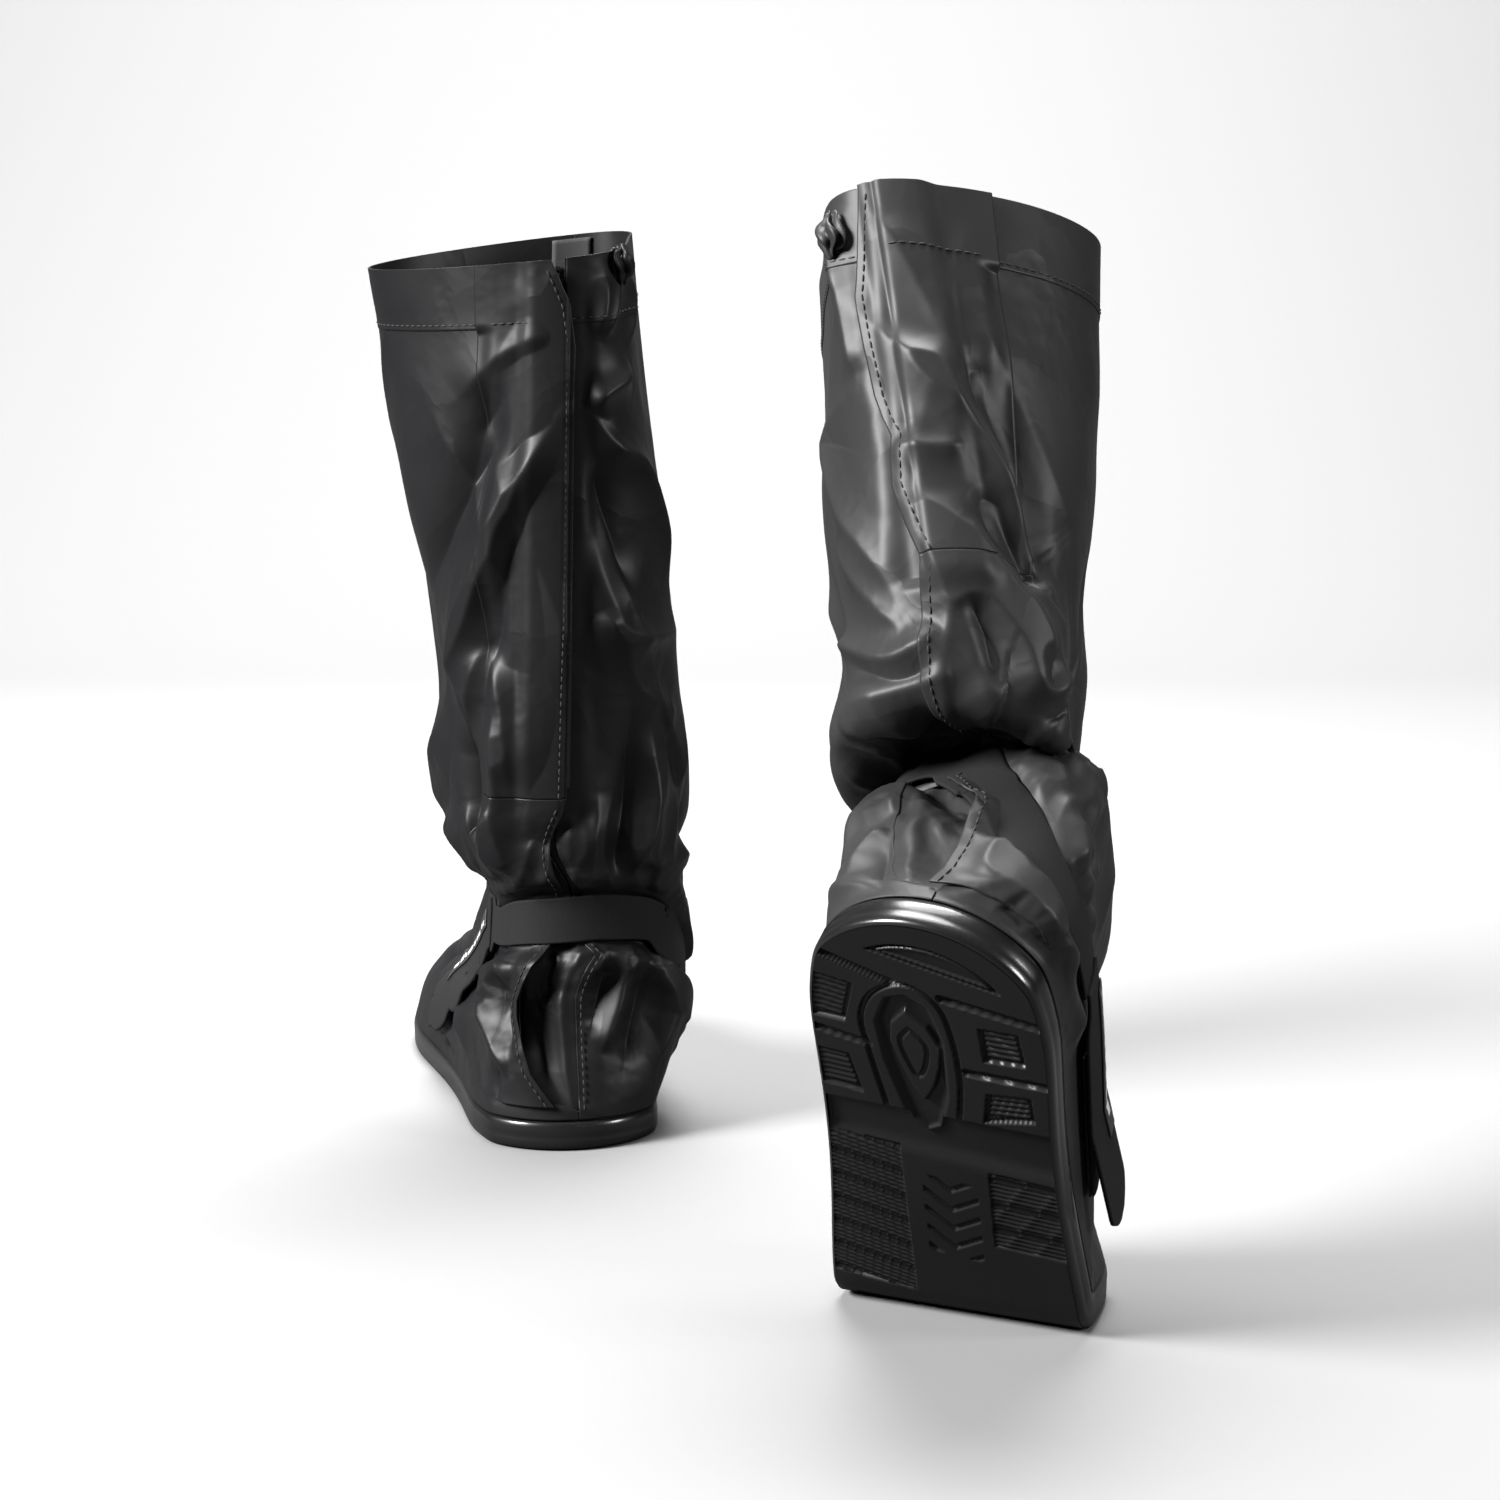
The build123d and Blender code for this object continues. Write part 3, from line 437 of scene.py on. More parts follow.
def softNoise(shape, cell, seed):
    # smooth random field on the grid, wrapped round the leg
    own = np.random.default_rng(seed)
    rows, cols = shape
    coarse = own.normal(size=(int(rows / cell[0]) + 3, max(int(cols / cell[1]), 3)))
    r = np.linspace(0, coarse.shape[0] - 2.001, rows)
    c = np.linspace(0, coarse.shape[1], cols, endpoint=True) % coarse.shape[1]
    i, j = r.astype(int), c.astype(int)
    a, b = smooth(r - i)[:, None], smooth(c - j)[None]
    nextCol = (j + 1) % coarse.shape[1]
    top = coarse[i][:, j] * (1 - b) + coarse[i][:, nextCol] * b
    low = coarse[i + 1][:, j] * (1 - b) + coarse[i + 1][:, nextCol] * b
    return top * (1 - a) + low * a


# random folds: v, rise and width ranges, slope in rows and columns, length range
shaftLoose = dict(count=26, rise=(1.0, 2.8), width=(4, 7), slope=(1.0, 0.5), length=(90, 200))
footLoose = dict(count=22, rise=(0.8, 2.4), width=(3, 5), slope=(0.8, 0.5), length=(30, 90))


def looseFolds(form, seed, rows, count, rise, width, slope, length):
    # folds at random places for the sides that hang free
    own = np.random.default_rng(seed)
    for _ in range(count):
        row = form.rowOf(own.uniform(*rows))
        col = own.uniform(0, form.columns)
        way = own.choice((-1, 1))
        run = own.uniform(*length)
        steps = np.linspace(-0.5, 0.5, 4)
        cells = [(min(max(row + run * t * slope[0], 2), len(form.v) - 3),
                  col + way * run * t * slope[1] + own.normal() * 4) for t in steps]
        addStroke(form, cells, own.uniform(*rise) * own.choice((-1, 1, 1)), own.uniform(*width))


def farFrom(form, stations):
    # each grid point's distance from a line of (u, v) points on the foot or ankle
    spots = form.at(stations[:, 0], stations[:, 1], plain=True)
    high = int(form.rowOf(strap["clearTo"]))
    best = np.full(form.lift.shape, 1e3)
    for spot in spots:
        best[:high] = np.minimum(best[:high], np.linalg.norm(form.base[:high] - spot, axis=-1))
    return best


# the strap round the ankle and the tab down the lateral side
strap = dict(width=23.0, thick=1.3, over=3.3, rib=1.5, clearTo=8.6)
# label is the part of its length that the label takes; free is where its loose end starts
tab = dict(width=27.0, thick=1.4, over=4.4, label=(0.1, 0.74), labelThick=0.5, barOver=0.62,
           free=dict(left=1.0, right=0.62), hang=0.16, across=20)


def lateralStation(form, y, z, way=-1):
    v = float(form.heightV(z))
    i = min(int(v), len(footRings) - 2)
    t = v - i
    us = np.linspace(0.02, math.pi - 0.02, 400)
    below, above = (footSection(us, *footRings[k][1:])[1] for k in (i, i + 1))
    ys = below * (1 - t) + above * t
    return way * float(np.interp(y, ys, us)), v


def bandLine(form):
    # (u, v) points from the tab's tip, round the heel, to the medial anchor; and where the tab ends
    lateral = [lateralStation(form, y, z) for y, z in form.band["tab"]]
    medial = [lateralStation(form, y, z, 1) for y, z in form.band["medial"]]
    back = [(math.radians(turn), float(form.heightV(z))) for turn, z in form.band["back"]]
    whole = lateral[::-1] + back + medial
    steps = 12
    return curve(whole, steps * (len(whole) - 1) + 1), steps * (len(lateral) - 1)


def strapLine(form):
    path, split = bandLine(form)
    return path[split:]


def tabLine(form):
    path, split = bandLine(form)
    return path[:split + 1]


# small folds that run out from under the strap, up the leg and down the foot
gathers = dict(count=24, rise=3.2, width=3.6, bulge=3.0, up=(22, 60), down=(16, 44))
zipZone = dict(near=13.0, far=26.0)
flap = dict(root=30.0, over=6.0, cloth=1.0, heelRoot=46.0, heelCloth=0.9, stand=5.0,
            sewnIn=3.4, heelSewnIn=3.2, sewnHigh=2.9)
cloth = dict(thick=0.9, deepest=-8.0, highest=8.5)


def gatherAtStrap(form, seed):
    own = np.random.default_rng(seed)
    lines = strapLine(form)
    for k in range(gathers["count"]):
        u, v = lines[int((k + own.uniform(0.1, 0.9)) / gathers["count"] * (len(lines) - 1))]
        col = (u + math.pi) / full * form.columns
        for way, reach in ((1, own.uniform(*gathers["up"])), (-1, own.uniform(*gathers["down"]))):
            rowStart = form.rowOf(v) + way * 12 / form.pitch
            cells = [(min(max(rowStart + way * reach * t / form.pitch, 2), len(form.v) - 3),
                      col + own.normal() * 3 * (1 + 3 * t)) for t in (0, 0.33, 0.67, 1.0)]
            rise = gathers["rise"] * own.uniform(0.3, 1.0)
            addStroke(form, cells, rise, gathers["width"] * own.uniform(0.8, 1.4))


def zipWidth(form):
    # signed distance from the zip line, medial positive, per grid point
    e = 0.05
    across = form.at(e, form.v, plain=True) - form.at(-e, form.v, plain=True)
    per = np.linalg.norm(across, axis=-1) / (2 * e)
    return form.u[None] * per[:, None]


def shapeCloth(form, folds, seed):
    foldByPixels(form, folds)
    looseFolds(form, seed, (6.6, form.top - 0.5), **shaftLoose)
    looseFolds(form, seed + 1, (0.5, 6.0), **footLoose)
    gatherAtStrap(form, seed + 2)
    form.lift += softNoise(form.lift.shape, (40, 40), seed + 3) * 0.5
    line, split = bandLine(form)
    near = farFrom(form, line[split:])
    nearTab = farFrom(form, line[:split:2])
    form.lift += gathers["bulge"] * bell((near - 20) / 6)
    form.lift *= smooth((near - 9.5) / 4.5) * smooth((nearTab - 13) / 9)
    rows = form.v[:, None]
    form.lift *= smooth((rows - 0.1) / 0.9) ** 0.7          # lies flat against the sole
    form.lift *= 1 - 0.6 * smooth((rows - form.belowRim(30)) / 0.25)
    form.lift = np.clip(form.lift, cloth["deepest"], cloth["highest"])
    keep = smooth((np.abs(zipWidth(form)) - zipZone["near"]) / (zipZone["far"] - zipZone["near"]))
    over = smooth((rows - form.vStraight + 0.9) / 0.6)
    form.flapLift = form.lift * keep + np.maximum(form.lift, 0) * 0.9 * (1 - keep)
    form.lift = form.lift * (1 - over * (1 - keep))
    form.settle()


# shader values: maths on sockets reads as maths
class Wire:
    def __init__(self, finish, socket):
        self.finish, self.socket = finish, socket

    def maths(self, operation, *values):
        return self.finish.node("ShaderNodeMath", {"operation": operation}, dict(enumerate(values)))

    def __add__(self, other): return self.maths("ADD", self, other)
    def __radd__(self, other): return self.maths("ADD", other, self)
    def __sub__(self, other): return self.maths("SUBTRACT", self, other)
    def __rsub__(self, other): return self.maths("SUBTRACT", other, self)
    def __mul__(self, other): return self.maths("MULTIPLY", self, other)
    def __rmul__(self, other): return self.maths("MULTIPLY", other, self)


class Finish:
    def __init__(self, name):
        self.material = bpy.data.materials.new(name)
        self.material.use_nodes = True
        self.tree = self.material.node_tree
        self.tree.nodes.clear()

    def node(self, kind, settings=None, inputs=None, out=0):
        node = self.tree.nodes.new(kind)
        for key, value in (settings or {}).items():
            setattr(node, key, value)
        for key, value in (inputs or {}).items():
            if isinstance(value, Wire):
                self.tree.links.new(value.socket, node.inputs[key])
            else:
                node.inputs[key].default_value = value
        return Wire(self, node.outputs[out])

    def place(self):
        return self.node("ShaderNodeTexCoord", out="Object")

    def uv(self):
        return self.node("ShaderNodeTexCoord", out="UV")

    def split(self, vector):
        parts = self.node("ShaderNodeSeparateXYZ", {}, {"Vector": vector}).socket.node
        return [Wire(self, socket) for socket in parts.outputs]

    def noise(self, where, scale, detail=2.0, rough=0.5):
        return self.node("ShaderNodeTexNoise", {},
                         {"Vector": where, "Scale": scale, "Detail": detail, "Roughness": rough})

    def lean(self, value, amount):
        return self.node("ShaderNodeCombineXYZ", {},
                         {"X": value * amount, "Y": value * -amount, "Z": value * amount})

    def mixed(self, factor, first, second):
        return self.node("ShaderNodeMix", {"data_type": "RGBA"}, {0: factor, 6: first, 7: second}, out=2)

    def bump(self, height, strength, distance):
        return self.node("ShaderNodeBump", {}, {"Height": height, "Strength": strength, "Distance": distance})

    def shader(self, **inputs):
        named = {key.replace("_", " "): value for key, value in inputs.items()}
        surface = self.node("ShaderNodeBsdfPrincipled", {}, named)
        end = self.tree.nodes.new("ShaderNodeOutputMaterial")
        self.tree.links.new(surface.socket, end.inputs["Surface"])
        return self.material


# one nylon in two copies: the right boot's colours are painted lighter as painted light, the left boot's
# darker as painted shade; within each pair the cloud gives the cloth's own random tone
nylonLook = dict(left=((0.0040, 0.0038, 0.0044, 1), (0.0085, 0.0082, 0.0090, 1)),
                 right=((0.014, 0.0135, 0.014, 1), (0.024, 0.0232, 0.0238, 1)),
                 rough=0.40, wave=0.45, shine=0.22)


def nylon(side):
    f = Finish("coated_nylon_" + side)
    where = f.place()
    cloud = f.noise(where, 9.0, 3.0)
    soft = f.noise(where, 26.0, 3.0, 0.5)
    bent = f.node("ShaderNodeVectorMath", {"operation": "ADD"}, {0: where, 1: f.lean(soft, 0.05)})
    facets = f.node("ShaderNodeTexVoronoi", {}, {"Vector": bent, "Scale": 21.0})
    weave = f.noise(where, 2600.0, 1.0)
    # dark and pale are this boot's copy, already raised or lowered by painted light or painted shade
    dark, pale = nylonLook[side]
    return f.shader(Base_Color=f.mixed(cloud, dark, pale), Roughness=nylonLook["rough"] + cloud * 0.14,
                    Normal=f.bump(soft * 0.5 + facets * 0.9 + weave * 0.012, nylonLook["wave"], 0.004),
                    Specular_IOR_Level=nylonLook["shine"])


def elastic():
    f = Finish("woven_elastic")
    along, _, _ = f.split(f.uv())
    across = (along * (full / (strap["rib"] * mm))).maths("SINE")
    fuzz = f.noise(f.place(), 1200.0, 2.0)
    return f.shader(Base_Color=f.mixed(fuzz, (0.0035, 0.0036, 0.0035, 1), (0.012, 0.0125, 0.012, 1)),
                    Roughness=0.8 + fuzz * 0.12, Normal=f.bump(across + fuzz * 0.8, 0.6, 0.00025),
                    Specular_IOR_Level=0.2)


def rubber(name, low, high, rough, coat):
    f = Finish(name)
    where = f.place()
    cloud = f.noise(where, 14.0, 4.0)
    grain = f.noise(where, 700.0, 2.0)
    return f.shader(Base_Color=f.mixed(cloud, low, high), Roughness=rough + cloud * 0.1,
                    Normal=f.bump(grain, 0.12, 0.0003), Coat_Weight=coat, Coat_Roughness=0.12,
                    Specular_IOR_Level=0.3)


def plainFinish(name, low, high, rough, grainScale=500.0, metallic=0.0, bump=0.2):
    f = Finish(name)
    cloud = f.noise(f.place(), grainScale, 2.0)
    return f.shader(Base_Color=f.mixed(cloud, low, high), Roughness=rough + cloud * 0.08,
                    Normal=f.bump(cloud, bump, 0.0003), Metallic=metallic)


finishes = {
    # the same nylon, painted lighter on the right boot and darker on the left: painted light and painted
    # shade
    "nylon_left": nylon("left"),
    "nylon_right": nylon("right"),
    "elastic": elastic(),
    "tread": rubber("tread_rubber", (0.0045, 0.0043, 0.0047, 1), (0.009, 0.0085, 0.0092, 1), 0.36, 0.0),
    "rand": rubber("rand_rubber", (0.005, 0.005, 0.0053, 1), (0.009, 0.009, 0.0095, 1), 0.24, 0.35),
    "thread": plainFinish("stitch_thread", (0.006, 0.006, 0.0063, 1), (0.014, 0.014, 0.0145, 1), 0.7),
    "tape": plainFinish("sewn_tape", (0.012, 0.012, 0.013, 1), (0.02, 0.02, 0.021, 1), 0.7),
    "board": plainFinish("insole_fibre", (0.03, 0.03, 0.032, 1), (0.05, 0.05, 0.052, 1), 0.8),
    "metal": plainFinish("black_zip_metal", (0.02, 0.02, 0.021, 1), (0.03, 0.03, 0.032, 1), 0.3, 300.0, 0.7),
    "coil": plainFinish("zip_coil_plastic", (0.012, 0.012, 0.013, 1), (0.02, 0.02, 0.021, 1), 0.4, 900.0),
    "touch": plainFinish("touch_fastener", (0.012, 0.012, 0.013, 1), (0.03, 0.03, 0.031, 1), 0.9, 1800.0,
                         0.0, 0.9),
    "label": plainFinish("woven_label", (0.015, 0.015, 0.0155, 1), (0.03, 0.03, 0.031, 1), 0.5, 1400.0),
    "pale": plainFinish("pale_print", (0.55, 0.55, 0.56, 1), (0.66, 0.66, 0.67, 1), 0.45, 900.0),
}
print("finishes made")


def piece(name, vertices, faces, finish, body, uv=None, thick=0.0, stands=()):
    mesh = bpy.data.meshes.new(name)
    mesh.from_pydata((np.asarray(vertices) * mm).tolist(), [], faces)
    if uv is not None:
        layer = mesh.uv_layers.new(name="UVMap")
        loops = np.zeros(len(mesh.loops), int)
        mesh.loops.foreach_get("vertex_index", loops)
        layer.data.foreach_set("uv", (np.asarray(uv)[loops] * mm).ravel())
    mesh.materials.append(finishes[finish])
    mesh.shade_smooth()
    obj = bpy.data.objects.new(name, mesh)
    bpy.context.scene.collection.objects.link(obj)
    if thick:
        shell = obj.modifiers.new("thickness", "SOLIDIFY")
        shell.thickness, shell.offset = thick * mm, 1.0
    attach(obj, body)
    if stands:
        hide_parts(*stands)
    return obj


def gridFaces(rows, cols, flip=False):
    index = np.arange(rows * cols).reshape(rows, cols)
    a, b, c, d = index[:-1, :-1], index[:-1, 1:], index[1:, 1:], index[1:, :-1]
    quads = np.stack([a, d, c, b] if flip else [a, b, c, d], -1).reshape(-1, 4)
    return quads.tolist()


def clothPiece(name, form, us, vs, height, thick, finish, body, stands=(), plain=False):
    # us and vs are grids of the same shape
    points = form.at(us, vs, height, plain)
    return gridPiece(name, points, form.at(us, vs, 5.0, plain) - form.at(us, vs, 0.0, plain), thick,
                     finish, body, stands)


def gridPiece(name, points, out, thick, finish, body, stands=()):
    # a sheet through a grid of points; out shows which way is outward
    rows, cols = points.shape[:2]
    widths = np.zeros((rows, cols))
    lengths = np.zeros((rows, cols))
    widths[:, 1:] = np.cumsum(np.linalg.norm(np.diff(points, axis=1), axis=-1), 1)
    lengths[1:] = np.cumsum(np.linalg.norm(np.diff(points, axis=0), axis=-1), 0)
    uv = np.stack([widths, lengths], -1).reshape(-1, 2)
    across, up = points[:-1, 1:] - points[:-1, :-1], points[1:, :-1] - points[:-1, :-1]
    flip = float(np.sum(np.cross(across, up) * out[:-1, :-1])) < 0
    return piece(name, points.reshape(-1, 3), gridFaces(rows, cols, flip), finish, body, uv, thick, stands)


def ribbonGrid(form, path, halfWidths, across=12):
    # (u, v) grid of a band along a path of (u, v) points
    u, v, e = path[:, 0], path[:, 1], 1e-2
    base = form.at(u, v, plain=True)
    au = (form.at(u + e, v, plain=True) - form.at(u - e, v, plain=True)) / (2 * e)
    av = (form.at(u, v + e, plain=True) - form.at(u, v - e, plain=True)) / (2 * e)
    normal = np.cross(au, av) * -form.side
    normal /= np.linalg.norm(normal, axis=-1, keepdims=True)
    along = np.gradient(base, axis=0)
    along /= np.linalg.norm(along, axis=-1, keepdims=True)
    side = np.cross(normal, along)
    uu, uv, vv = (np.einsum("ij,ij->i", a, b) for a, b in ((au, au), (au, av), (av, av)))
    su, sv = np.einsum("ij,ij->i", side, au), np.einsum("ij,ij->i", side, av)
    det = uu * vv - uv * uv
    du, dv = (su * vv - sv * uv) / det, (sv * uu - su * uv) / det
    w = np.linspace(-1, 1, across + 1)[None] * halfWidths[:, None]
    return u[:, None] + du[:, None] * w, v[:, None] + dv[:, None] * w


stitch = dict(length=2.9, gap=1.1, thick=0.42, raised=0.15, stations=5, sides=6)


def stitches(name, form, u, v, height, body):
    # short raised threads along a path over the cloth
    points = form.at(u, v, height)
    threadRow(name, points, form.at(u, v, height + 1.0) - points, body)


def threadRow(name, points, out, body):
    sides, last = stitch["sides"], stitch["stations"] - 1
    run = np.concatenate([[0], np.cumsum(np.linalg.norm(np.diff(points, axis=0), axis=-1))])
    pitch = stitch["length"] + stitch["gap"]
    vertices, faces = [], []
    for start in np.arange(0, run[-1] - pitch, pitch):
        stations = []
        for t in np.linspace(0, 1, stitch["stations"]):
            s = start + t * stitch["length"]
            p = np.array([np.interp(s, run, points[:, k]) for k in range(3)])
            n = np.array([np.interp(s, run, out[:, k]) for k in range(3)])
            stations.append((p, n / np.linalg.norm(n), t))
        along = stations[-1][0] - stations[0][0]
        along /= max(np.linalg.norm(along), 1e-6)
        first = len(vertices)
        for p, n, t in stations:
            r = stitch["thick"] * (0.35 + 0.65 * math.sin(math.pi * t) ** 0.5)
            side = np.cross(n, along)
            for k in range(sides):
                angle = k * full / sides
                high = r * math.sin(angle) + stitch["raised"]
                vertices.append(p + side * r * math.cos(angle) + n * high)
        for i in range(last):
            for k in range(sides):
                a, b = (first + i * sides + m % sides for m in (k, k + 1))
                faces.append([a, b, b + sides, a + sides])
        faces.append([first + k for k in range(sides - 1, -1, -1)])
        faces.append([first + last * sides + k for k in range(sides)])
    piece(name, vertices, faces, "thread", body)


# the moulded sole, in foot coordinates (x to the medial side, y from the heel)
# the pattern of the sole: places in mm, depths of the cuts in mm
tread = dict(
    depth=2.8, wall=0.4, step=96.0, archEnd=112, archFade=12, archDepth=2.6, edgeFade=2.2, edgeRound=1.5,
    arcCentre=(1, 46),
    crescent=dict(chord=((28, 15), (-29, 25)), inset=9.0, line=1.3, lineDepth=2.0, depth=1.0),
    bars=[((50, 19), (13, 30)), ((-6, 33), (-50, 38)), ((60, 60), (25, 65)), ((-13, 69), (-60, 66))],
    barHalf=1.9,
    windows=[[(45, 33), (28, 35), (33, 56), (48, 56)], [(48, 73), (33, 73), (29, 93), (46, 92)],
             [(-19, 44), (-34, 43), (-36, 59), (-20, 61)], [(-20, 78), (-37, 75), (-38, 88), (-18, 94)]],
    windowDepth=1.9, windowRib=1.1, ribs=2.7,
    horseshoe=[(19, 103), (25, 66), (26, 50), (20, 37), (8, 30), (-4, 37), (-9, 56), (-10, 78), (-8, 100)],
    channel=[(22, 52), (17, 38), (8, 34), (-1, 39), (-6, 56), (-6, 84), (-2, 104), (5, 109), (12, 103),
             (20, 72)],
    channelDepth=2.6,
    island=[(9, 44), (16, 54), (15, 66), (10, 80), (5, 90), (0, 80), (-3, 66), (-2, 54)], islandRise=2.2,
    eye=[(8, 53), (12, 60), (9, 72), (6, 77), (3, 71), (2, 60)],
    blocks=[dict(x=(17, 60), y=(119, 204), lean=0.16), dict(x=(-60, -18), y=(122, 164), lean=-0.05)],
    fine=2.4, group=5, wideDepth=2.3, fineDepth=1.6, fineRib=1.3,
    motif=dict(x=(-13, 9), y=(132, 176), pitch=11.0, half=1.4, depth=1.3),
    toe=dict(start=214, pitch=9.0, half=1.8, inset=9, depth=2.0),
)


def insidePolygon(x, y, corners):
    # signed distance inside a convex outline, positive inside
    corners = np.array(corners, float)
    centre = corners.mean(0)
    inside = np.full(x.shape, 1e9)
    for a, b in zip(corners, np.roll(corners, -1, 0)):
        normal = np.array([-(b - a)[1], (b - a)[0]]) / np.linalg.norm(b - a)
        if np.dot(centre - a, normal) < 0:
            normal = -normal
        inside = np.minimum(inside, (x - a[0]) * normal[0] + (y - a[1]) * normal[1])
    return inside


def fromPath(x, y, path):
    # distance from an open chain of points
    best = np.full(x.shape, 1e9)
    for a, b in zip(path[:-1], path[1:]):
        a, b = np.array(a, float), np.array(b, float)
        t = np.clip(((x - a[0]) * (b - a)[0] + (y - a[1]) * (b - a)[1]) / np.dot(b - a, b - a), 0, 1)
        best = np.minimum(best, np.hypot(x - a[0] - t * (b - a)[0], y - a[1] - t * (b - a)[1]))
    return best


def cut(inside):
    # 1 inside a cut and 0 outside it, with a short drafted wall
    return smooth(inside / tread["wall"] + 0.5)


def outlineSides(grow):
    u = np.linspace(0, math.pi, 721)
    height, shift, rear, rearArc, rearHalf, front, frontArc, frontHalf, waist = footRings[0]
    section = (rear, rearArc + grow, rearHalf + grow, front, frontArc + grow, frontHalf + grow, waist)
    x1, y = footSection(u, shift, *section)
    x2, _ = footSection(-u, shift, *section)
    return y, x2, x1


def insideBox(x, y, box):
    return np.minimum(np.minimum(x - box["x"][0], box["x"][1] - x),
                      np.minimum(y - box["y"][0], box["y"][1] - y))


def treadDepth(x, y):
    # how deep the pattern is cut at each point of the sole
    ys, low, high = outlineSides(sole["lip"])
    left, right = np.interp(y, ys, low), np.interp(y, ys, high)
    edge = np.minimum(np.minimum(right - x, x - left), np.minimum(y - ys[0], ys[-1] - y) + 0 * x)
    rim = np.hypot(x - tread["arcCentre"][0], y - tread["arcCentre"][1])
    depth = 0 * x
    a, b = (np.array(p, float) for p in tread["crescent"]["chord"])
    normal = np.array([(b - a)[1], -(b - a)[0]]) / np.linalg.norm(b - a)
    if normal[1] > 0:
        normal = -normal
    crescent = tread["crescent"]
    moon = np.minimum((x - a[0]) * normal[0] + (y - a[1]) * normal[1],
                      tread["arcCentre"][1] - crescent["inset"] - rim)
    depth = np.maximum(depth, cut(crescent["line"] / 2 - np.abs(moon - 1)) * crescent["lineDepth"])
    depth = np.maximum(depth, cut(moon - 2.5) * crescent["depth"])
    for a, b in tread["bars"]:
        depth = np.maximum(depth, cut(tread["barHalf"] - fromPath(x, y, [a, b])) * tread["depth"])
    for corners in tread["windows"]:
        inside = insidePolygon(x, y, corners)
        lean = (corners[1][1] - corners[0][1]) / (corners[1][0] - corners[0][0])
        across = (y - corners[0][1] - lean * (x - corners[0][0])) / tread["ribs"]
        rib = smooth((np.abs((across % 1.0) - 0.5) - 0.16) / 0.16)
        floor = tread["windowDepth"] - tread["windowRib"] * rib * cut(inside - 1.6)
        depth = np.maximum(depth, cut(inside) * floor)
    shoe = fromPath(x, y, curve(tread["horseshoe"], 80))
    loop = curve(tread["island"] + tread["island"][:1], 60)
    eye = curve(tread["eye"] + tread["eye"][:1], 40)
    channel = insidePolygon(x, y, tread["channel"])
    depth = np.maximum(depth, smooth(channel / 4.0) * tread["channelDepth"])
    depth = depth - tread["islandRise"] * smooth((insidePolygon(x, y, loop[::6]) + 1.0) / 1.6)
    depth = np.maximum(depth, cut(0.9 - fromPath(x, y, eye)) * 1.3)
    depth = np.maximum(depth, cut(1.0 - shoe) * 1.7)
    arch = smooth((y - tread["step"] - 0.06 * x) / 1.2)
    arch = arch * (1 - smooth((y - tread["archEnd"]) / tread["archFade"]))
    depth = np.maximum(depth, arch * tread["archDepth"] * (1 - smooth(channel / 3)))
    for block in tread["blocks"]:
        count = (y - block["y"][0] + block["lean"] * (x - block["x"][0])) / tread["fine"]
        rib = smooth((np.abs((count % 1.0) - 0.5) - 0.14) / 0.14)
        wide = (np.floor(count) % (tread["group"] + 1)) < 1
        cuts = np.where(wide, tread["wideDepth"], tread["fineDepth"] - tread["fineRib"] * rib)
        depth = np.maximum(depth, cut(insideBox(x, y, block)) * cuts)
    motif = tread["motif"]
    chevron = np.abs(((y + np.abs(x + 2) * 0.8) % motif["pitch"]) - motif["pitch"] / 2)
    cuts = cut(motif["half"] - chevron) * motif["depth"]
    depth = np.maximum(depth, cut(insideBox(x, y, motif)) * cuts)
    front = tread["toe"]
    toe = smooth((y - front["start"]) / 3)
    bars = np.abs((y % front["pitch"]) - front["pitch"] / 2)
    cuts = cut(front["half"] - bars) * cut(edge - front["inset"]) * front["depth"]
    depth = depth * (1 - toe) + toe * cuts
    inward = smooth((edge - 0.2) / tread["edgeFade"])
    return np.maximum(depth, 0) * inward + tread["edgeRound"] * (1 - smooth(edge / 2.0)) ** 2


# the sole's side: how far it stands out past the lip, and height
sideProfile = [(-1.6, 0.35), (-0.6, 0.9), (0.0, 2.2), (0.1, 5.0), (-0.1, 6.0), (0.1, 7.0), (0.2, 10.5),
               (-0.1, 12.6), (-1.0, 13.7), (-2.2, 14.0), (-8.0, 13.9)]


def makeSole(form, fine):
    # fine scales the number of points of the pattern
    body, flip = form.name + "_boot", form.side > 0
    ys, low, high = outlineSides(sole["lip"] + sideProfile[0][0])
    t = np.linspace(0, 1, int(560 * fine))
    eased = 0.35 * (1 - np.cos(t * math.pi)) / 2 + 0.65 * t
    y = ys[0] + (ys[-1] - ys[0]) * eased
    s = np.linspace(-1, 1, int(250 * fine))[None]
    left, right = np.interp(y, ys, low)[:, None], np.interp(y, ys, high)[:, None]
    x = (left + right) / 2 + (right - left) / 2 * s
    yy = y[:, None] + 0 * x
    bottom = form.foot(x, yy, treadDepth(x, yy))
    piece(form.name + "_tread", bottom.reshape(-1, 3), gridFaces(*x.shape, flip), "tread", body,
          stands=[form.name + "_outsole"])
    u = np.linspace(-math.pi, math.pi, 481)
    height, shift, rear, rearArc, rearHalf, front, frontArc, frontHalf, waist = footRings[0]
    rows = []
    for out, z in sideProfile:
        grow = sole["lip"] + out
        px, py = footSection(u, shift, rear, rearArc + grow, rearHalf + grow,
                             front, frontArc + grow, frontHalf + grow, waist)
        rows.append(form.foot(px, py, z + 0 * px))
    piece(form.name + "_rand", np.array(rows).reshape(-1, 3), gridFaces(len(rows), len(u), flip),
          "rand", body)


# the boots
hem = dict(width=30.0, stitches=27.5, over=1.0, thick=0.25, zipHalf=5.6)
# v of the opening over the heel, and how far the side cloths stay from the zip and front seam, in mm
panel = dict(foot=0.035, zipHalf=4.6, zipFrom=4.6, seamHalf=0.25, openTop=5.2, openLow=0.25, sink=-1.6)
gusset = dict(low=0.3, high=5.7, thick=0.8, deep=8.5, under=16, past=7)
inner = dict(seamHalf=10.0, depth=-1.3, thick=0.8, cuff=(28, 20), cuffTurn=(28, 75))
reflector = dict(rim=(61, 47), turn=-104, half=17.0, thick=0.5)


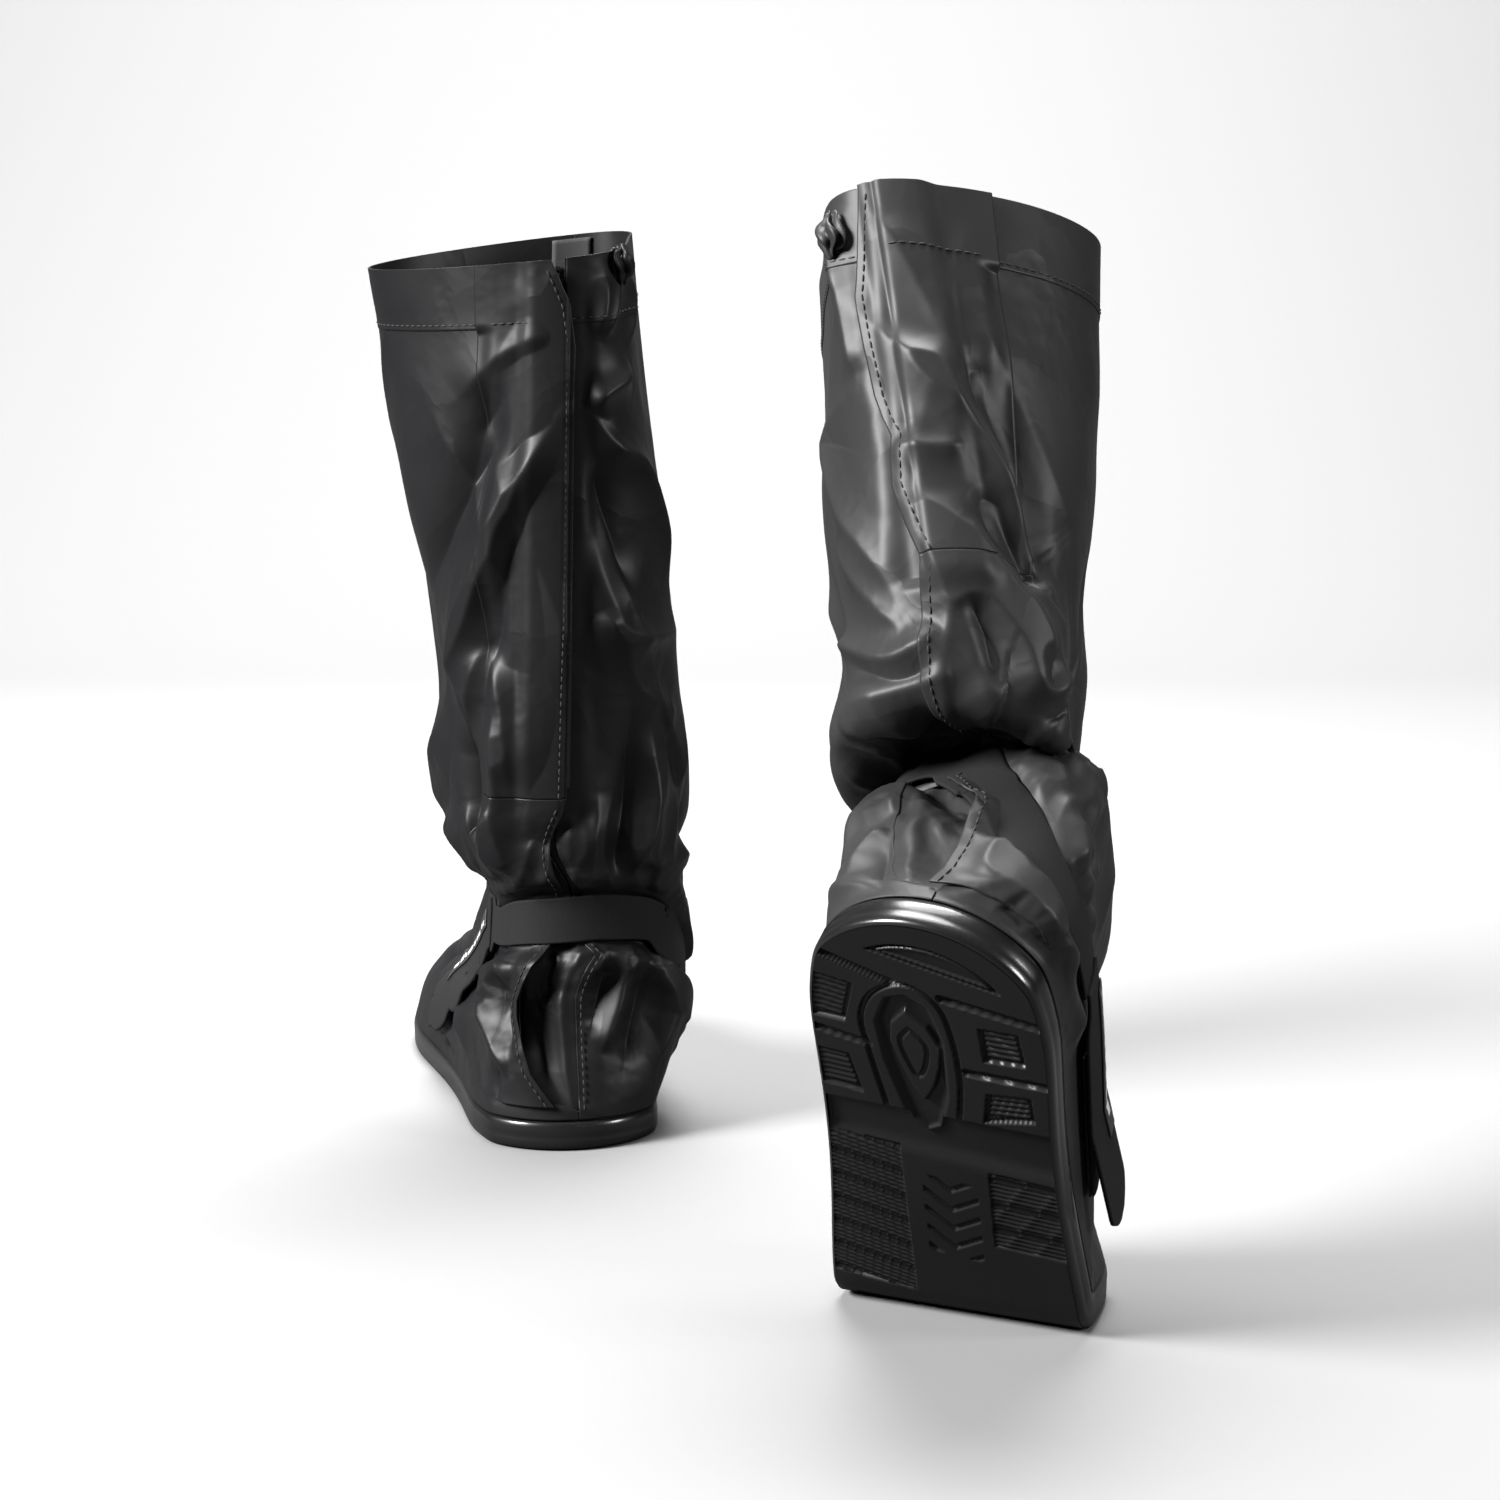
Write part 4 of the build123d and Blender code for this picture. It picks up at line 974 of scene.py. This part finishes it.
def clothRows(form, low, high, count):
    # v of rows evenly spaced along the cloth
    return form.vOf(np.linspace(form.rowOf(low), form.rowOf(high), count))


def makeSideCloths(form, lines):
    # they stop short of the zip; at the heel they leave the opening between them
    name, body = form.name, form.name + "_boot"
    vs = clothRows(form, panel["foot"], form.top, 520)
    heel = smooth((panel["openTop"] - vs) / 0.6) * smooth((vs - panel["openLow"]) / 0.5)
    lip = np.interp(vs, *lines["lip"])
    far = np.interp(vs, *lines["far"])
    zipHalf = np.where(vs > panel["zipFrom"], panel["zipHalf"], panel["seamHalf"])
    backs = dict(medial=zipHalf * (1 - heel) + np.maximum(far, 0.3) * heel,
                 lateral=zipHalf * (1 - heel) + np.maximum(8.0 - lip, 0.3) * heel)
    for way, label in ((1, "medial"), (-1, "lateral")):
        back = form.angleOf(backs[label], vs)
        front = math.pi - form.angleOf(panel["seamHalf"], vs, math.pi)
        us = way * (back[:, None] + (front - back)[:, None] * np.linspace(0, 1, 330)[None])
        near = bell((np.abs(us) - back[:, None]) / form.angleOf(6.0, vs)[:, None])
        clothPiece(f"{name}_{label}_cloth", form, us, vs[:, None] + 0 * us,
                   panel["sink"] * near * heel[:, None], cloth["thick"], "nylon_" + name, body,
                   [f"{name}_{label}_panel"])


def makeGusset(form, lines):
    # it lies deep behind the flap's lip and comes up to meet the far side
    name, body = form.name, form.name + "_boot"
    vs = clothRows(form, gusset["low"], gusset["high"], 130)
    lip = np.interp(vs, *lines["lip"])
    far = np.maximum(np.interp(vs, *lines["far"]), 0.3)
    low, high = np.minimum(lip - gusset["under"], -10), far + gusset["past"]
    widths = low[:, None] + (high - low)[:, None] * np.linspace(0, 1, 90)[None]
    across = (widths - lip[:, None]) / (far - lip)[:, None]
    almond = np.sin(math.pi * np.clip((vs[:, None] - gusset["low"]) / 5.2, 0, 1))
    tuck = panel["sink"] - gusset["deep"] * almond * bell((across - 0.28) / 0.42)
    tuck = tuck + 1.6 * bell((across - 0.75) / 0.1) * almond
    us = form.angleOf(1.0, vs)[:, None] * widths
    clothPiece(f"{name}_gusset", form, us, vs[:, None] + 0 * us, tuck, gusset["thick"],
               "nylon_" + name, body, [f"{name}_heel_gusset"])
    if name == "left":
        u = form.angleOf(1.0, vs) * (far + 2.4)
        stitches(f"{name}_gusset_stitches", form, u[:110], vs[:110], cloth["thick"] - 0.3, body)


def makeHem(form):
    name, body = form.name, form.name + "_boot"
    vs = clothRows(form, form.belowRim(hem["width"]), form.top, 34)
    edge = form.angleOf(hem["zipHalf"], vs)[:, None]
    us = edge + (full - 2 * edge) * np.linspace(0, 1, 480)[None]
    clothPiece(f"{name}_hem", form, us, vs[:, None] + 0 * us, hem["over"], hem["thick"],
               "nylon_" + name, body, [f"{name}_hem_band"])
    u = np.linspace(0.12, full - 0.12, 700)
    stitches(f"{name}_hem_stitches", form, u, form.belowRim(hem["stitches"]) + 0 * u,
             hem["over"] + hem["thick"] - 0.1, body)


def makeInnerTrim(form):
    # the tape inside the front seam, the elastic inside the rim and the plain reflector
    name, body = form.name, form.name + "_boot"
    vs = clothRows(form, 0.3, form.belowRim(2), 200)
    half = form.angleOf(inner["seamHalf"], vs, math.pi)[:, None]
    us = math.pi - half + 2 * half * np.linspace(0, 1, 10)[None]
    clothPiece(f"{name}_seam_tape", form, us, vs[:, None] + 0 * us, inner["depth"], inner["thick"],
               "tape", body, [f"{name}_front_seam_tape"])

    vs = clothRows(form, *(form.belowRim(d) for d in inner["cuff"]), 8)
    us = np.radians(np.linspace(*inner["cuffTurn"], 40))[None] + 0 * vs[:, None]
    clothPiece(f"{name}_cuff", form, us, vs[:, None] + 0 * us, inner["depth"], inner["thick"],
               "elastic", body, [f"{name}_cuff_elastic"])

    vs = clothRows(form, *(form.belowRim(d) for d in reflector["rim"]), 12)
    turn = math.radians(reflector["turn"])
    half = float(form.angleOf(reflector["half"], vs[-1], turn))
    us = turn + np.linspace(-half, half, 24)[None] + 0 * vs[:, None]
    clothPiece(f"{name}_reflector", form, us, vs[:, None] + 0 * us, cloth["thick"] + 0.3,
               reflector["thick"], "pale", body, [f"{name}_shin_reflector"])


def makeBoot(form):
    lines = edgeWidths(form)
    makeSideCloths(form, lines)
    makeGusset(form, lines)
    makeHem(form)
    makeInnerTrim(form)
    makeFlaps(form, lines)
    makeKnot(form)
    makeStrap(form)
    hidden = dict(zip_tape_medial="tape", zip_tape_lateral="tape", flap_loop_strip="touch",
                  zip_slider="metal", zip_puller="metal", zip_stops="metal", zip_coil="coil",
                  insole_board="board", flap_hook_strip="touch")
    for node, finish in hidden.items():
        dress(f"{form.name}_{node}", finish)


def dress(node, finish):
    # a finish for a piece that is shown as its plain solid
    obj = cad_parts[node]
    obj.data.materials.clear()
    obj.data.materials.append(finishes[finish])


def flapProfile(width, root):
    # height over the form: up from the root, over the coil, down to the free edge
    rise = smooth((width + 16) / 10)
    fall = 1.7 * smooth((width - panel["zipHalf"]) / 3.2) + 1.2 * smooth((width - 9) / 6)
    return root * (1 - rise) + flap["over"] * rise - fall


def makeFlaps(form, lines):
    # the flap over the zip, and the one below it over the heel's opening
    name, body, nylonName = form.name, form.name + "_boot", "nylon_" + form.name
    cloths, form.points = form.points, form.base + form.baseNormals * form.flapLift[..., None]

    vs = clothRows(form, form.vStraight, form.top, 300)
    free = np.interp(vs, *lines["flap"])
    widths = -flap["root"] + (free[:, None] + flap["root"]) * np.linspace(0, 1, 70)[None]
    us = form.angleOf(1.0, vs)[:, None] * widths
    vv = vs[:, None] + 0 * us
    onHem = smooth((vv - form.belowRim(hem["width"] + 3)) / 0.05)
    clear = smooth((widths + flap["root"]) / 9)
    root = 0.2 + 2.7 * clear + 2.6 * onHem * (1 - clear)
    clothPiece(f"{name}_storm_flap_cloth", form, us, vv, flapProfile(widths, root), flap["cloth"],
               nylonName, f"{name}_flap", [f"{name}_storm_flap"])

    def sewn(label, vs, widths, high, rider):
        # a row of stitches on the flap, at widths from the zip line
        us = form.angleOf(1.0, vs) * widths
        points = form.at(us, vs, high + flap["cloth"] + 0.1)
        threadRow(label, points, form.at(us, vs, high + flap["cloth"] + 1.1) - points, rider)

    inset = free - flap["sewnIn"]
    sewn(f"{name}_flap_stitches", vs, inset, flapProfile(inset, flap["sewnHigh"]), f"{name}_flap")
    across = np.linspace(-flap["root"] + 6, free[-1] - 5, 60)
    sewn(f"{name}_flap_hem_stitches", form.belowRim(hem["stitches"]) + 0 * across, across,
         flapProfile(across, flap["sewnHigh"]), f"{name}_flap")

    # below the zip's straight part the flap is sewn to the lateral side, and its lip bows open
    vs = clothRows(form, 0.45, form.vStraight - 0.004, 260)
    free = np.interp(vs, np.append(lines["lip"][0], form.vStraight),
                     np.append(lines["lip"][1], np.interp(form.vStraight, *lines["flap"])))
    rows = vs[:, None]
    joined = smooth((rows - form.vStraight + 1.2) / 1.1)
    low = -flap["heelRoot"] * (1 - joined) - flap["root"] * joined
    widths = low + (free[:, None] - low) * np.linspace(0, 1, 80)[None]
    us = form.angleOf(1.0, vs)[:, None] * widths
    vv = rows + 0 * us
    sunk = 0.2 + 1.9 * smooth((widths - low) / 10)
    bow = np.sin(math.pi * np.clip((vv - 0.5) / 4.6, 0, 1)) ** 1.2
    stand = flap["stand"] * bow * smooth((widths - free[:, None] + 14) / 14)
    high = (sunk + stand) * (1 - joined) + flapProfile(widths, sunk + 0.8) * joined
    clothPiece(f"{name}_heel_flap_cloth", form, us, vv, high, flap["heelCloth"], nylonName, body,
               [f"{name}_heel_flap"])
    inset = free - flap["heelSewnIn"]
    sewn(f"{name}_heel_flap_stitches", vs, inset,
         np.array([np.interp(w, row, h) for w, row, h in zip(inset, widths, high)]), body)
    form.points = cloths


knotSize = dict(across=6.0, deep=4.0, tall=8.0, lumps=0.3, over=3.5)


def makeKnot(form):
    # the rim's drawstring end, bunched into a small gathered ball of cloth
    row, col = form.nearest(edges[form.name]["knot"], form.top - 1.0, form.top)
    u, v = -math.pi + col / form.columns * full, form.v[row]
    centre = form.at(u, v, knotSize["over"])
    out = form.at(u, v, knotSize["over"] + 1) - centre
    up = form.at(u, v + 0.02, 0.0) - form.at(u, v - 0.02, 0.0)
    up /= np.linalg.norm(up)
    side = np.cross(out, up)
    turn, tilt = np.meshgrid(np.linspace(0, full, 61), np.linspace(-math.pi / 2, math.pi / 2, 31))
    pleats = np.sin(6 * turn + 1.5 * np.sin(3 * tilt)) * np.cos(tilt)
    size = 1 + knotSize["lumps"] * (pleats + 0.5 * np.sin(4 * tilt + turn))
    ball = (side * (np.cos(tilt) * np.cos(turn) * size * knotSize["across"])[..., None]
            + out * (np.cos(tilt) * np.sin(turn) * size * knotSize["deep"])[..., None]
            + up * (np.sin(tilt) * size * knotSize["tall"])[..., None] + centre)
    piece(f"{form.name}_rim_knot", ball.reshape(-1, 3), gridFaces(*turn.shape), "nylon_" + form.name,
          form.name + "_boot")


def makeStrap(form):
    name, body = form.name, form.name + "_boot"
    line = strapLine(form)
    us, vs = ribbonGrid(form, line, np.full(len(line), strap["width"] / 2), 20)
    clothPiece(f"{name}_strap", form, us.T, vs.T, strap["over"], strap["thick"], "elastic", body,
               [f"{name}_ankle_strap"], plain=True)
    for pad in ("strap_anchor", "tab_loop_pad", "tab_hook_pad"):
        dress(f"{name}_{pad}", "touch")
    path = tabLine(form)[::-1]
    t = np.linspace(0, 1, len(path))
    halves = tab["width"] / 2 * (0.7 + 0.3 * smooth(t * 4)) * np.sqrt(np.clip((1.0 - t) / 0.09, 0.05, 1))
    across = tab["across"]
    us, vs = ribbonGrid(form, path, halves, across)
    points = form.at(us, vs, tab["over"], plain=True)
    out = form.at(us, vs, tab["over"] + 1, plain=True) - points
    # past this share of its length the loose tongue leaves the cloth and runs straight on
    hold = int(len(path) * tab["free"][name])
    if hold < len(path) - 1:
        spine = points[:, across // 2].copy()
        run = np.concatenate([[0], np.cumsum(np.linalg.norm(np.diff(spine, axis=0), axis=-1))])
        way = spine[hold] - spine[hold - 3]
        way = way / np.linalg.norm(way) + tab["hang"] * out[hold, across // 2]
        wide = (points[hold, -1] - points[hold, 0]) / (2 * halves[hold])
        beyond = run[hold + 1:] - run[hold]
        rows = np.linspace(-1, 1, across + 1)[None] * halves[hold + 1:, None]
        points[hold + 1:] = spine[hold] + beyond[:, None, None] * way + rows[..., None] * wide
        out[hold + 1:] = out[hold]
    gridPiece(f"{name}_tab", points, out, tab["thick"], "elastic", f"{name}_tab", [f"{name}_strap_tab"])
    low, high = (int(len(path) * share) for share in tab["label"])
    side = slice(13, 20) if form.side > 0 else slice(1, 8)
    out = out[low:high, side]
    part = points[low:high, side] + out * (tab["thick"] + 0.3)
    gridPiece(f"{name}_label", part, out, tab["labelThick"], "label", f"{name}_tab",
              [f"{name}_tab_label"])
    # plain bars, each three rows of the label's grid by three columns
    raised = part + out * tab["barOver"]
    bars = [raised[start:start + 3, 2:5].reshape(-1, 3) for start in range(2, high - low - 3, 3)]
    corners = ([0, 1, 4, 3], [1, 2, 5, 4], [3, 4, 7, 6], [4, 5, 8, 7])
    faces = [[9 * i + k for k in corner] for i in range(len(bars)) for corner in corners]
    piece(f"{name}_label_bars", np.concatenate(bars), faces, "pale", f"{name}_tab")


# folds, seed of the loose folds, and fineness of the sole: only the right one is seen from below
looks = dict(left=(foldsLeft, 21, 0.6), right=(foldsRight, 47, 1.0))
for bootName, (folds, seed, fine) in looks.items():
    form = BootForm(bootName)
    shapeCloth(form, folds, seed)
    print(bootName, "cloth shaped", form.lift.min(), form.lift.max())
    makeBoot(form)
    makeSole(form, fine)
    print(bootName, "boot made")


# floor and light
backdrop = dict(front=-6.0, bend=2.2, radius=1.8, tall=6.0, half=9.0)
lights = dict(world=0.03, areas=dict(
    key=((-2.5, -1.3, 1.9), (0, 0, 0.25), 1.3, 420),
    fill=((2.5, -0.9, 1.0), (0, 0, 0.25), 0.7, 45),
    overhead=((0.0, 0.9, 3.2), (0, 0.3, 0.0), 2.4, 200),
    wall=((0.0, 1.2, 3.6), (0, 4.0, 1.3), 2.0, 420)))


def makeStage():
    turns = np.linspace(0, math.pi / 2, 24)
    profile = [(backdrop["front"], 0)]
    bend, radius = backdrop["bend"], backdrop["radius"]
    profile += [(bend + radius * math.sin(a), radius * (1 - math.cos(a))) for a in turns]
    profile += [(bend + radius, backdrop["tall"])]
    mesh = bpy.data.meshes.new("floor")
    vertices = [(x, y, z - 0.0005) for x in (-backdrop["half"], backdrop["half"]) for y, z in profile]
    count = len(profile)
    mesh.from_pydata(vertices, [], [[i, i + count, i + count + 1, i + 1] for i in range(count - 1)])
    mesh.shade_smooth()
    floor = bpy.data.objects.new("floor", mesh)
    bpy.context.scene.collection.objects.link(floor)
    paper = Finish("pale_floor")
    seen = paper.node("ShaderNodeLightPath", out="Is Camera Ray")
    # pale to the eye, dark to the boots, so that they keep their dark folds
    mesh.materials.append(paper.shader(
        Base_Color=paper.mixed(seen, (0.05, 0.05, 0.05, 1), (0.22, 0.22, 0.22, 1)),
        Roughness=0.9, Specular_IOR_Level=0.1))
    makeWorld()
    for label, (place, aim, width, power) in lights["areas"].items():
        data = bpy.data.lights.new(label, "AREA")
        data.shape, data.size, data.energy = "DISK", width, power
        lamp = bpy.data.objects.new(label, data)
        lamp.location = place
        way = np.array(aim) - np.array(place)
        lamp.rotation_euler = (math.atan2(math.hypot(way[0], way[1]), -way[2]), 0,
                               math.atan2(way[1], way[0]) - math.pi / 2)
        bpy.context.scene.collection.objects.link(lamp)


def makeWorld():
    # white behind the boots, though it hardly lights them
    world = bpy.data.worlds.new("studio")
    bpy.context.scene.world = world
    world.use_nodes = True
    tree = world.node_tree
    seen, lit = tree.nodes.new("ShaderNodeBackground"), tree.nodes["Background"]
    path, mix = tree.nodes.new("ShaderNodeLightPath"), tree.nodes.new("ShaderNodeMixShader")
    for node, strength in ((seen, 1.0), (lit, lights["world"])):
        node.inputs["Color"].default_value = (1, 1, 1, 1)
        node.inputs["Strength"].default_value = strength
    tree.links.new(path.outputs["Is Camera Ray"], mix.inputs["Fac"])
    tree.links.new(lit.outputs[0], mix.inputs[1])
    tree.links.new(seen.outputs[0], mix.inputs[2])
    tree.links.new(mix.outputs[0], tree.nodes["World Output"].inputs["Surface"])


makeStage()
bpy.context.scene.view_settings.view_transform = "Standard"
